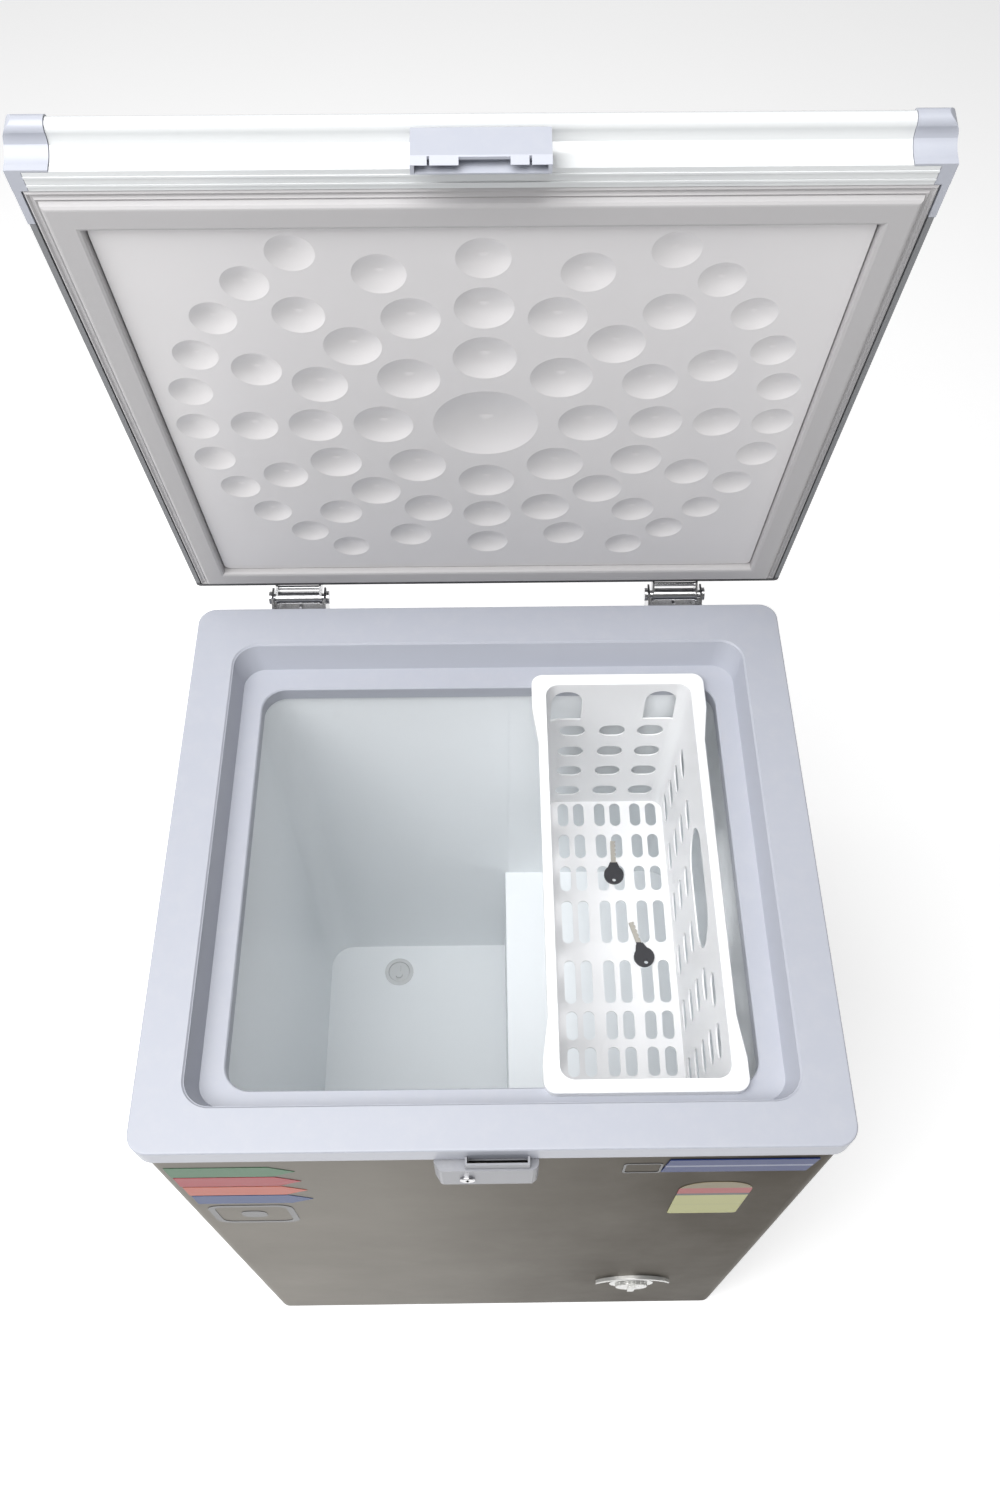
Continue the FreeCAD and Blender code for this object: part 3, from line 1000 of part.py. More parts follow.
# ---------------------------------------------------------------- basket
def make_basket():
    t = BASKET_T
    top = BASKET_TOP
    x0, x1 = BASKET_L + 12.0, BASKET_R - 12.0
    y0, y1 = BASKET_FRONT + 9.5, BASKET_BACK - 11.5
    floor = (BASKET_L + 19.0, BASKET_R - 18.0, BASKET_FRONT + 24.0, BASKET_BACK - 20.0)
    outer = taper((floor[0], floor[1], floor[2], floor[3], BASKET_FLOOR, 14), (x0, x1, y0, y1, top - 1, 14))
    inner = taper((floor[0] + t, floor[1] - t, floor[2] + t, floor[3] - t, BASKET_FLOOR + t, 12),
                  (x0 + t, x1 - t, y0 + t, y1 - t, top + 0.4, 12))
    flange = rbox(BASKET_L, BASKET_R, BASKET_FRONT, BASKET_BACK, LEDGE_Z + GAP, top, 11)
    hollow = rbox(BASKET_L + t, BASKET_R - t, BASKET_FRONT + t, BASKET_BACK - t, LEDGE_Z, top - t, 9)
    ya, yb, yc, yd = BASKET_FRONT + 20, BASKET_FRONT + 64, BASKET_BACK - 76, BASKET_BACK - 32
    for s, edge in ((1, BASKET_R), (-1, BASKET_L)):
        waist = [(edge + s, ya), (edge - s * 5.0, yb), (edge - s * 5.0, yc), (edge + s, yd)]
        flange = flange.cut(slab_z(waist, LEDGE_Z - 1, top + 1))
        inset = [(edge - s * t, ya), (edge - s * (5.0 + t), yb), (edge - s * (5.0 + t), yc),
                 (edge - s * t, yd)]
        hollow = hollow.cut(slab_z(inset + [(edge + s, yd), (edge + s, ya)], LEDGE_Z - 1, top + 1))
    flange = fillet_level(flange, top, 1.3)
    flange = flange.cut(hollow)
    basket = flange.fuse(outer).cut(inner)
    basket = basket.cut(rbox(x0 + t, x1 - t, y0 + t, y1 - t, top - t - 0.5, top + 1, 12))
    basket = basket.cut(basket_slots(floor))
    put("basket", max(basket.Solids, key=lambda s: s.Volume).removeSplitter())


def basket_y(from_middle):
    return BASKET_MID_Y + BASKET_STRETCH * from_middle


def basket_slots(floor):
    """Cutters for the slots in the end walls, the floor and the long walls, and for the hand holds."""
    cutters = []
    levels = (BASKET_FLOOR + 25, BASKET_FLOOR + 64, BASKET_FLOOR + 101, BASKET_FLOOR + 138)
    upright = turned(stadium(26, 18, 44), V(0, 0, 0), RIGHTWARD, 90)
    for z in levels:
        for x in (42.5, 83.0, 121.5):
            cutters.append(moved(upright, BASKET_L + x, floor[3] + 4, z))
            cutters.append(moved(upright, BASKET_L + x, floor[2] - 6, z))
    arch_z = BASKET_FLOOR + 189
    arch = cyl(0, -22, arch_z, 15, 44, BACKWARD).fuse(box(-15, 15, -22, 22, arch_z - 31, arch_z))
    for x in (35, 127):
        for y in (floor[3] + 6, floor[2] - 10):
            cutters.append(moved(arch, BASKET_L + x, y, 0))
    rows = ((164, 28), (125.5, 28.5), (87, 29), (37, 48), (-29, 46), (-75, 29.5), (-112, 29.5), (-149, 28))
    for y, length in rows:
        slot = turned(stadium(length * BASKET_STRETCH, 11.5, 12), V(0, 0, 0), V(0, 0, 1), 90)
        for x in (38.2, 55.2, 78.1, 95.0, 116.9, 134.0):
            cutters.append(moved(slot, BASKET_L + x, basket_y(y), BASKET_FLOOR + 1))
    side = turned(stadium(31, 18.0, 40), V(0, 0, 0), V(0, 0, 1), 90)
    side = turned(side, V(0, 0, 0), BACKWARD, 90)
    hold = turned(stadium(116, 58, 40), V(0, 0, 0), V(0, 0, 1), 90)
    hold = turned(hold, V(0, 0, 0), BACKWARD, 90)
    for x in (floor[0] - 6, floor[1] + 6):
        for row, z in enumerate(levels):
            for k in range(6):
                y = 158 - 58 * k - 4 * row
                if row < 3 or not -82 < y < 78:
                    cutters.append(moved(side, x, basket_y(y), z))
        for y in (-104, -150):
            cutters.append(moved(side, x, basket_y(y), BASKET_FLOOR + 172))
        cutters.append(moved(hold, x, basket_y(2), BASKET_FLOOR + 156))
    return cutters


def make_keys():
    keys = []
    for x, y, turn in ((89.5, 90.0, -1.5), (115.0, -3.5, 15.8)):
        bow = cyl(0, 0, 0, 10.5, 3.0)
        bow = bow.fuse(slab_z([(-8, 4), (-3.6, 15), (3.6, 15), (8, 4)], 0, 3.0))
        bow = bow.cut(cyl(0, -6.0, -1, 2.2, 5))
        blade = box(-2.6, 2.6, 14.0, 40.0, 0.6, 2.4)
        for k in range(4):
            blade = blade.cut(slab_z([(2.9, 20 + 5 * k), (1.5, 22 + 5 * k), (2.9, 24 + 5 * k)], 0, 3))
        key = turned(bow.fuse(blade), V(0, 0, 0), V(0, 0, 1), turn)
        keys.append(moved(key, BASKET_L + x, basket_y(y), BASKET_FLOOR + BASKET_T + 0.2))
    put("keys", *keys)


# ---------------------------------------------------------------- stickers on the front
def make_stickers():
    y1 = -SKIN_Y - 0.1
    y0 = y1 - 0.3
    left, right, top = -SKIN_X, SKIN_X, RIM_TOP
    strips = []
    for i in range(4):
        z = top - 74.0 - 32.6 * i
        x = left + 12.5 + 1.0 * i
        arrow = [(x, z + 15), (x + 84, z + 15), (x + 104, z), (x + 84, z - 15), (x, z - 15)]
        strips.append(slab_y(arrow, y0, y1))
    put("sticker_feature_strips", *strips)
    ring = rrect_y(left + 19.5, left + 96.5, top - 268, top - 196, 14, y0, y1)
    ring = ring.cut(rrect_y(left + 25.5, left + 90.5, top - 262, top - 202, 10, y0 - 1, y1 + 1))
    bar = rrect_y(left + 46.5, left + 69.5, top - 244, top - 220, 8, y0, y1)
    tag = rrect_y(right - 172.5, right - 140.5, top - 92, top - 62, 4, y0, y1)
    tag = tag.cut(rrect_y(right - 170.5, right - 142.5, top - 90, top - 64, 3, y0 - 1, y1 + 1))
    put("sticker_marks", ring, bar, tag)
    badge = [(right - 136.5, top - 50), (right - 16.5, top - 50), (right - 20.5, top - 88),
             (right - 140.5, top - 88)]
    put("badge", slab_y(badge, y0 - 0.6, y1))
    label = rrect_y(right - 117.5, right - 53.5, top - 250, top - 128, (4, 4, 28, 28), y0, y1)
    put("sticker_energy_label", label)


def rrect_y(x0, x1, z0, z1, r, y0, y1):
    plate = rbox(x0, x1, z0, z1, 0, y1 - y0, r)
    plate = turned(plate, V(0, 0, 0), RIGHTWARD, 90)
    return moved(plate, 0, y1, 0)


# ---------------------------------------------------------------- build
def build():
    make_shell()
    make_feet()
    make_rim()
    make_tank()
    make_drain()
    make_coils()
    make_foam()
    make_compressor()
    make_rear_cover()
    make_thermostat()
    make_lock()
    make_hinges()
    make_leaves()
    make_lid_shell()
    make_lid_inside()
    make_handle()
    make_basket()
    make_keys()
    make_stickers()


build()
whole = Part.makeCompound(list(PARTS.values())).BoundBox
Y_MID = (whole.YMin + whole.YMax) / 2.0
print("bounds X %.3f %.3f  Y %.3f %.3f  Z %.3f %.3f" % (
    whole.XMin, whole.XMax, whole.YMin, whole.YMax, whole.ZMin, whole.ZMax))
print("shift along Y %.4f" % -Y_MID)
os.makedirs("parts", exist_ok=True)
for name in sorted(PARTS):
    shape = moved(PARTS[name], 0, -Y_MID, 0)
    print("%-26s solids %3d valid %s volume %.0f" % (name, len(shape.Solids), shape.isValid(), shape.Volume))
    shape.exportStep("parts/%s.step" % name)
print("nodes", len(PARTS))
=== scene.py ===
# %% [markdown]
# # A compact chest freezer, dressed in Blender
#
# The shapes, joints and sizes come from a CAD model that is already finished. This script loads that
# model as a fixed frame and gives each piece the finish it has on the real product: moulded plastic,
# brushed sheet, ribbed gasket, chrome and rubber. All colours and surface details are procedural, so
# nothing is painted by hand and the result is the same on every run.

# %% Load the frame
import bpy
import math
from mathutils import Matrix, Vector


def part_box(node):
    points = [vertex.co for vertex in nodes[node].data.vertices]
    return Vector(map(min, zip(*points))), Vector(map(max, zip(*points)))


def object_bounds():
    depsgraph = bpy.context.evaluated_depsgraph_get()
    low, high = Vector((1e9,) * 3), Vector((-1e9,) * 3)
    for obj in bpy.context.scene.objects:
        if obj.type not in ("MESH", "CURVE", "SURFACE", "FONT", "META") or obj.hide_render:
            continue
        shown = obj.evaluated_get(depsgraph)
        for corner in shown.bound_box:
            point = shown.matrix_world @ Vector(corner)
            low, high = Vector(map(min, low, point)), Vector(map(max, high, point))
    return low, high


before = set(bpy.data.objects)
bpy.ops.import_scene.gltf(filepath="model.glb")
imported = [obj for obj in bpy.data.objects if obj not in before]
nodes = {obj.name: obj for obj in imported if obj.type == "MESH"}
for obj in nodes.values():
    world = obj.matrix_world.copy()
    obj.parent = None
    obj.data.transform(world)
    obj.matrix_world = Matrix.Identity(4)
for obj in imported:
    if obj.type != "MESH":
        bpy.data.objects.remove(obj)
cad_low, cad_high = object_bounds()
print("CAD nodes:", len(nodes), "size in metres:", [round(v, 3) for v in cad_high - cad_low])

# %% [markdown]
# ## Node groups that several finishes share
#
# A real surface is never one flat colour. Moulded plastic drifts a little in tone and carries a fine
# spark-eroded grain, sheet metal is brushed in one direction, and everything that faces up collects a
# little dust. Each of these effects is one shader node group with named inputs, so that every material
# can place the same group with its own values. A group only puts out colours and heights; the shader
# itself stays in the material.

# %% A helper that makes an empty group
FLOAT = "NodeSocketFloat"
COLOUR = "NodeSocketColor"


def new_group(title, inputs, outputs):
    """A shader group with (name, kind, default) inputs and (name, kind) outputs."""
    tree = bpy.data.node_groups.new(title, "ShaderNodeTree")
    for name, kind, value in inputs:
        socket = tree.interface.new_socket(name=name, in_out="INPUT", socket_type=kind)
        socket.default_value = value
    for name, kind in outputs:
        tree.interface.new_socket(name=name, in_out="OUTPUT", socket_type=kind)
    return tree, tree.nodes.new("NodeGroupInput"), tree.nodes.new("NodeGroupOutput")


def place(tree, kind, **settings):
    """Add a node; settings are its properties."""
    node = tree.nodes.new(kind)
    for key, value in settings.items():
        setattr(node, key, value)
    return node


def noise(tree, scale, detail=2.0, roughness=0.5, stretch=None):
    """Noise in the object's own metres, so that it rides along when the piece moves."""
    where = place(tree, "ShaderNodeTexCoord").outputs["Object"]
    if stretch:
        mapping = place(tree, "ShaderNodeMapping")
        mapping.inputs["Scale"].default_value = stretch
        tree.links.new(where, mapping.inputs["Vector"])
        where = mapping.outputs["Vector"]
    node = place(tree, "ShaderNodeTexNoise")
    node.inputs["Detail"].default_value = detail
    node.inputs["Roughness"].default_value = roughness
    tree.links.new(where, node.inputs["Vector"])
    if isinstance(scale, bpy.types.NodeSocket):
        tree.links.new(scale, node.inputs["Scale"])
    else:
        node.inputs["Scale"].default_value = scale
    return node.outputs["Fac"]


def maths(tree, operation, a, b=0.0, c=None, clamp=False):
    """One Math node; a, b and c are sockets or numbers."""
    node = place(tree, "ShaderNodeMath", operation=operation, use_clamp=clamp)
    for slot, value in zip(node.inputs, (a, b, c)):
        if isinstance(value, bpy.types.NodeSocket):
            tree.links.new(value, slot)
        elif value is not None:
            slot.default_value = value
    return node.outputs[0]


def spread(tree, value, low, high, to_low=0.0, to_high=1.0):
    """Map low..high onto to_low..to_high and clamp."""
    node = place(tree, "ShaderNodeMapRange", clamp=True)
    for name, number in (("From Min", low), ("From Max", high), ("To Min", to_low), ("To Max", to_high)):
        if isinstance(number, bpy.types.NodeSocket):
            tree.links.new(number, node.inputs[name])
        else:
            node.inputs[name].default_value = number
    tree.links.new(value, node.inputs["Value"])
    return node.outputs["Result"]


def mixed(tree, share, a, b, blend="MIX"):
    """Mix two colours; each is a socket or a colour."""
    node = place(tree, "ShaderNodeMix", data_type="RGBA", blend_type=blend)
    for slot, value in ((node.inputs["Factor"], share), (node.inputs[6], a), (node.inputs[7], b)):
        if isinstance(value, bpy.types.NodeSocket):
            tree.links.new(value, slot)
        elif isinstance(value, (int, float)):
            slot.default_value = value
        else:
            slot.default_value = (*value[:3], 1.0)
    return node.outputs[2]


print("helpers ready")

# %% [markdown]
# ### Tone drift
#
# Large soft clouds of slightly darker and lighter colour. Plastic and paint both have them, from the
# way they cool or dry. The drift is kept to a few percent: the eye should feel it, not see it.

# %% Tone drift group
tone_drift, gi, go = new_group(
    "Tone drift",
    [("Colour", COLOUR, (0.8, 0.8, 0.8, 1.0)), ("Drift", FLOAT, 0.06), ("Scale", FLOAT, 4.0)],
    [("Colour", COLOUR)],
)
clouds = noise(tone_drift, gi.outputs["Scale"], detail=3.0)
centred = maths(tone_drift, "SUBTRACT", clouds, 0.5)
gain = maths(tone_drift, "MULTIPLY_ADD", centred, gi.outputs["Drift"], 1.0)
grey = place(tone_drift, "ShaderNodeCombineColor")
for channel in ("Red", "Green", "Blue"):
    tone_drift.links.new(gain, grey.inputs[channel])
drifted = mixed(tone_drift, 1.0, gi.outputs["Colour"], grey.outputs["Color"], "MULTIPLY")
tone_drift.links.new(drifted, go.inputs["Colour"])
print("group:", tone_drift.name)

# %% [markdown]
# ### Moulded grain
#
# Injection moulds are spark-eroded or bead-blasted, which leaves a fine orange-peel texture. Two sizes
# of noise together look more natural than one. The group gives a height for a Bump node and a
# roughness that varies with the same grain.

# %% Moulded grain group
moulded_grain, gi, go = new_group(
    "Moulded grain",
    [("Scale", FLOAT, 900.0), ("Waviness", FLOAT, 0.4), ("Roughness", FLOAT, 0.35),
     ("Variation", FLOAT, 0.1)],
    [("Height", FLOAT), ("Roughness", FLOAT)],
)
fine = noise(moulded_grain, gi.outputs["Scale"], detail=2.0)
broad = noise(moulded_grain, 28.0, detail=2.0)
height = maths(moulded_grain, "MULTIPLY_ADD", broad, gi.outputs["Waviness"], fine)
moulded_grain.links.new(height, go.inputs["Height"])
patches = noise(moulded_grain, 9.0, detail=5.0, roughness=0.65)
shifted = maths(moulded_grain, "SUBTRACT", patches, 0.5)
rough = maths(moulded_grain, "MULTIPLY_ADD", shifted, gi.outputs["Variation"], gi.outputs["Roughness"],
              clamp=True)
moulded_grain.links.new(rough, go.inputs["Roughness"])
print("group:", moulded_grain.name)

# %% [markdown]
# ### Settled dust
#
# Dust lies on what faces up, in uneven patches. The mask is the upward part of the surface normal
# multiplied by a noise; the colour moves towards a pale grey and the surface turns rougher there.

# %% Settled dust group
settled_dust, gi, go = new_group(
    "Settled dust",
    [("Colour", COLOUR, (0.8, 0.8, 0.8, 1.0)), ("Roughness", FLOAT, 0.4), ("Amount", FLOAT, 0.15)],
    [("Colour", COLOUR), ("Roughness", FLOAT)],
)
facing = place(settled_dust, "ShaderNodeSeparateXYZ")
geometry = place(settled_dust, "ShaderNodeNewGeometry")
settled_dust.links.new(geometry.outputs["Normal"], facing.inputs["Vector"])
upward = spread(settled_dust, facing.outputs["Z"], 0.35, 1.0)
specks = spread(settled_dust, noise(settled_dust, 55.0, detail=8.0, roughness=0.72), 0.46, 0.72)
dusty = maths(settled_dust, "MULTIPLY", upward, specks)
dusty = maths(settled_dust, "MULTIPLY", dusty, gi.outputs["Amount"])
DUST_COLOUR = (0.62, 0.61, 0.58)
dusted = mixed(settled_dust, dusty, gi.outputs["Colour"], DUST_COLOUR)
settled_dust.links.new(dusted, go.inputs["Colour"])
rougher = maths(settled_dust, "MULTIPLY_ADD", dusty, 0.5, gi.outputs["Roughness"], clamp=True)
settled_dust.links.new(rougher, go.inputs["Roughness"])
print("group:", settled_dust.name)

# %% [markdown]
# ### Brushed lines
#
# Sheet that is brushed at the mill carries thousands of short scratches in one direction. Noise that is
# stretched a hundred times along one axis gives them. The direction differs from sheet to sheet, so
# the stretch is an input.

# %% Brushed lines group
brushed_lines, gi, go = new_group(
    "Brushed lines",
    [("Stretch", "NodeSocketVector", (1.0, 1.0, 60.0)), ("Scale", FLOAT, 30.0)],
    [("Height", FLOAT), ("Shade", FLOAT)],
)
where = place(brushed_lines, "ShaderNodeTexCoord").outputs["Object"]
stretched = place(brushed_lines, "ShaderNodeVectorMath", operation="MULTIPLY")
brushed_lines.links.new(where, stretched.inputs[0])
brushed_lines.links.new(gi.outputs["Stretch"], stretched.inputs[1])
scratch = place(brushed_lines, "ShaderNodeTexNoise")
scratch.inputs["Detail"].default_value = 4.0
scratch.inputs["Roughness"].default_value = 0.7
brushed_lines.links.new(stretched.outputs["Vector"], scratch.inputs["Vector"])
brushed_lines.links.new(gi.outputs["Scale"], scratch.inputs["Scale"])
brushed_lines.links.new(scratch.outputs["Fac"], go.inputs["Height"])
brushed_lines.links.new(spread(brushed_lines, scratch.outputs["Fac"], 0.3, 0.7), go.inputs["Shade"])
print("group:", brushed_lines.name)

# %% [markdown]
# ## The finishes
#
# Each finish is one function call: it places the shared groups in front of a Principled shader. The
# numbers that are the same all over a surface, such as the coat, go straight on the shader's sockets.

# %% A helper that places a group in a material
def use_group(tree, group, **values):
    """Place a group; values go on its input sockets, as a link, a colour or a number."""
    node = tree.nodes.new("ShaderNodeGroup")
    node.node_tree = group
    for name, value in values.items():
        slot = node.inputs[name.replace("_", " ")]
        if isinstance(value, bpy.types.NodeSocket):
            tree.links.new(value, slot)
        elif isinstance(value, tuple) and slot.type == "RGBA":
            slot.default_value = (*value[:3], 1.0)
        else:
            slot.default_value = value
    return node


# %% [markdown]
# ### One function for every finish
#
# The order of the layers is the order in which a real surface gets them: first the material's own
# colour, then its moulded or brushed relief, then the dust on top. The relief only goes through a Bump
# node, so the shape of the CAD piece never changes.

# %% The finish function
def finish_of(title, colour, roughness, drift=0.06, drift_scale=4.0, grain=900.0, waviness=0.4,
              variation=0.1, bump=0.05, bump_depth=0.0002, dust=0.1, metallic=0.0, coat=0.0,
              coat_roughness=0.1, specular=0.5, before_dust=None, height_from=None):
    """A moulded, painted or plated finish. before_dust may repaint the colour, height_from the relief."""
    material = bpy.data.materials.new(title)
    material.use_nodes = True
    tree = material.node_tree
    shader = tree.nodes["Principled BSDF"]
    shader.inputs["Metallic"].default_value = metallic
    shader.inputs["Coat Weight"].default_value = coat
    shader.inputs["Coat Roughness"].default_value = coat_roughness
    shader.inputs["Specular IOR Level"].default_value = specular
    tone = use_group(tree, tone_drift, Colour=colour, Drift=drift, Scale=drift_scale).outputs["Colour"]
    if before_dust:
        tone = before_dust(tree, tone)
    texture = use_group(tree, moulded_grain, Scale=grain, Waviness=waviness, Roughness=roughness,
                        Variation=variation)
    top = use_group(tree, settled_dust, Colour=tone, Roughness=texture.outputs["Roughness"], Amount=dust)
    tree.links.new(top.outputs["Colour"], shader.inputs["Base Color"])
    tree.links.new(top.outputs["Roughness"], shader.inputs["Roughness"])
    relief = height_from(tree) if height_from else texture.outputs["Height"]
    bumped = tree.nodes.new("ShaderNodeBump")
    bumped.inputs["Strength"].default_value = bump
    bumped.inputs["Distance"].default_value = bump_depth
    tree.links.new(relief, bumped.inputs["Height"])
    tree.links.new(bumped.outputs["Normal"], shader.inputs["Normal"])
    return material


def dress(material, *names):
    """Give these CAD nodes the material."""
    for name in names:
        mesh = nodes[name].data
        mesh.materials.clear()
        mesh.materials.append(material)


print("finish function ready")

# %% [markdown]
# ### Moulded plastics
#
# The rim, the corner caps, the lock and the handle are one cool grey ABS with a satin face; the lock's copy
# is darker, as painted shade for its front face. The lid's front trim and the basket are a glossier white.
# The liner is vacuum-formed sheet: thin, a little wavy, and less even in gloss than a moulding.

# %% Plastics
lavender = finish_of("Cool grey plastic", (0.425, 0.442, 0.498), 0.36, grain=1400.0, bump=0.10, dust=0.10)
# Painted shade: the lock is the rim's plastic, given a darker colour so that its front face reads as shaded.
lock_painted_shade_grey = finish_of("Lock plastic with painted shade", (0.27, 0.275, 0.30), 0.40, grain=1400.0, bump=0.12, dust=0.10)
white_gloss = finish_of("White gloss plastic", (0.68, 0.695, 0.70), 0.20, grain=300.0, waviness=0.9,
                        bump=0.05, coat=0.3, dust=0.05)
basket_white = finish_of("Basket plastic", (0.86, 0.865, 0.875), 0.34, grain=1100.0, bump=0.08, dust=0.04)
liner_white = finish_of("Vacuum-formed liner", (0.68, 0.665, 0.67), 0.30, drift=0.02, grain=160.0,
                        waviness=1.0, bump=0.10, bump_depth=0.0004, variation=0.08, dust=0.02)
silver = finish_of("Silver painted plastic", (0.60, 0.60, 0.58), 0.28, grain=1500.0, bump=0.10, metallic=0.55)
black_plastic = finish_of("Black plastic", (0.022, 0.022, 0.024), 0.45, grain=900.0, bump=0.2, dust=0.25)
dress(lavender, "rim_frame", "lid_corner_cap_left", "lid_corner_cap_right", "lid_handle")
dress(lock_painted_shade_grey, "lock_housing")
dress(white_gloss, "lid_front_trim", "drain_cup", "drain_plug")
dress(basket_white, "basket")
dress(liner_white, "lid_liner")
dress(silver, "thermostat_arch", "thermostat_dial_plate", "thermostat_knob")
dress(black_plastic, "cord_gland", "drain_tube", "start_relay", "thermostat_body")
print("plastics dressed")

# %% [markdown]
# ### Sheet metal
#
# The wrap-around skin is brushed steel with a warm cast. It mirrors its surroundings softly, so its front
# also gets painted shade: a dark brown tone that deepens towards the right, in broad clouds of painted
# reflection. The tank is a smooth pale sheet with a cool cast from its lacquer, and the back and base panels
# are plain zinc.

# %% Brushed and zinc sheet
def brushed_relief(stretch, scale):
    """A height for the Bump node: scratches along one direction."""
    def build(tree):
        return use_group(tree, brushed_lines, Stretch=stretch, Scale=scale).outputs["Height"]
    return build


def brushed_tint(stretch, scale, dark, share):
    """The same scratches as a faint darker streaking of the colour."""
    def build(tree, tone):
        shade = use_group(tree, brushed_lines, Stretch=stretch, Scale=scale).outputs["Shade"]
        amount = maths(tree, "MULTIPLY", shade, share)
        return mixed(tree, amount, tone, dark)
    return build


STREAK_COLOUR = (0.26, 0.25, 0.23)
# Dark brown used as painted shade and painted reflection on the skin's front.
PAINTED_SHADE_COLOUR = (0.045, 0.040, 0.034)
SKIN_SPECULAR_TINT = (0.45, 0.43, 0.40, 1.0)


def front_painted_shade(tree, tone):
    """Brushing, and painted shade: a dark brown cast that deepens towards the right of the front, in soft
    clouds of painted reflection.
    """
    brushed = brushed_tint((1.0, 1.0, 40.0), 26.0, STREAK_COLOUR, 0.35)(tree, tone)
    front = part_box("cabinet_skin")[0].y
    where = place(tree, "ShaderNodeSeparateXYZ")
    tree.links.new(place(tree, "ShaderNodeTexCoord").outputs["Object"], where.inputs["Vector"])
    # Painted shade: the front face grows darker towards the right.
    painted_shade_to_right = spread(tree, where.outputs["X"], -0.10, 0.16, 0.05, 1.0)
    facing = spread(tree, where.outputs["Y"], front + 0.004, front + 0.020, 1.0, 0.3)
    # Vertically stretched clouds of painted reflection break up the painted shade.
    painted_reflection_noise = noise(tree, 7.0, detail=4.0, roughness=0.6, stretch=(1.0, 1.0, 0.4))
    clouds = spread(tree, painted_reflection_noise, 0.35, 0.65, 0.72, 1.0)
    share = maths(tree, "MULTIPLY", maths(tree, "MULTIPLY", painted_shade_to_right, facing), clouds)
    return mixed(tree, share, brushed, PAINTED_SHADE_COLOUR)


# The skin's strong tone drift is partly the sheet's own uneven tone and partly painted reflection, as large
# mottled clouds.
skin = finish_of("Brushed skin", (0.25, 0.243, 0.232), 0.34, drift=0.5, drift_scale=3.5, bump=0.10,
                 metallic=0.85, variation=0.16, dust=0.0, before_dust=front_painted_shade,
                 height_from=brushed_relief((1.0, 1.0, 60.0), 40.0))
skin.node_tree.nodes["Principled BSDF"].inputs["Specular Tint"].default_value = SKIN_SPECULAR_TINT
tank_sheet = finish_of("Lacquered tank sheet", (0.90, 0.93, 0.95), 0.32, drift=0.04, grain=240.0,
                       waviness=1.0, bump=0.10, bump_depth=0.0003, variation=0.06, dust=0.0)
lid_paint = finish_of("White lid paint", (0.80, 0.80, 0.80), 0.22, grain=420.0, waviness=0.8, bump=0.08,
                      coat=0.4, dust=0.15)
zinc = finish_of("Zinc sheet", (0.52, 0.53, 0.54), 0.42, drift=0.3, drift_scale=40.0, bump=0.12,
                 metallic=0.85, variation=0.3, dust=0.2)
dress(skin, "cabinet_skin")
dress(tank_sheet, "tank")
dress(lid_paint, "lid_top_panel")
dress(zinc, "rear_panel", "base_pan", "rear_cover")
print("sheet metal dressed")

# %% [markdown]
# ### Rubber, hinges, copper and the rest
#
# Rubber and foam are rough and dark or warm, chrome is smooth with fine scuffs, copper is tarnished in
# clouds. These pieces are small or hidden, but they show when the freezer is seen from behind.

# %% Small finishes
gasket_grey = finish_of("Gasket rubber", (0.46, 0.45, 0.455), 0.55, grain=700.0, bump=0.15, dust=0.1)
side_trim = finish_of("Side trim plastic", (0.20, 0.205, 0.215), 0.5, grain=900.0, bump=0.1)
dark_trim = finish_of("Dark trim", (0.05, 0.05, 0.055), 0.5, grain=900.0, bump=0.1)
foot_rubber = finish_of("Foot rubber", (0.03, 0.03, 0.03), 0.65, grain=500.0, bump=0.3, dust=0.4)
hinge_chrome = finish_of("Hinge plating", (0.55, 0.55, 0.56), 0.20, drift=0.2, drift_scale=60.0, bump=0.08,
                         metallic=1.0, variation=0.25, dust=0.05)
screw_zinc = finish_of("Screw zinc", (0.55, 0.54, 0.50), 0.35, drift=0.2, drift_scale=80.0, metallic=1.0)
copper = finish_of("Tarnished copper", (0.60, 0.27, 0.15), 0.34, drift=0.5, drift_scale=50.0, metallic=1.0,
                   variation=0.3)
black_paint = finish_of("Compressor paint", (0.012, 0.012, 0.013), 0.35, grain=300.0, bump=0.2, dust=0.3)
cast_iron = finish_of("Cast iron", (0.12, 0.12, 0.125), 0.7, grain=400.0, bump=0.5, metallic=0.6)
foam = finish_of("Blown foam", (0.72, 0.60, 0.32), 0.85, drift=0.25, drift_scale=20.0, grain=260.0, bump=0.6,
                 bump_depth=0.001)
dress(gasket_grey, "lid_gasket")
dress(side_trim, "lid_side_trims")
dress(dark_trim, "lid_rear_trim")
dress(foot_rubber, "feet", "compressor_grommets")
dress(hinge_chrome, "hinge_brackets", "hinge_leaves", "hinge_pins", "hinge_spring_rods", "lock_barrel")
dress(screw_zinc, "hinge_cabinet_screws", "hinge_lid_screws", "rear_cover_screws", "lock_cam",
      "compressor_bolts")
dress(copper, "evaporator_coil", "condenser_coil", "capillary_tube", "discharge_pipe", "suction_pipe",
      "condenser_return_pipe", "filter_drier", "thermostat_sensor_line")
dress(black_paint, "compressor_shell", "compressor_feet")
dress(cast_iron, "compressor_motor")
dress(foam, "foam_walls", "foam_corner_posts", "foam_base", "foam_rim_ring", "lid_foam")
print("small finishes dressed")

# %% [markdown]
# ### Printed labels
#
# The labels are thin film with plain colour bands and no lettering. Where a colour starts and stops is
# worked out from the label's own box, so it stays in place if the label moves. The keys are painted
# the same way, along their length: a dark plastic bow, then a metal blade, for each of the two.

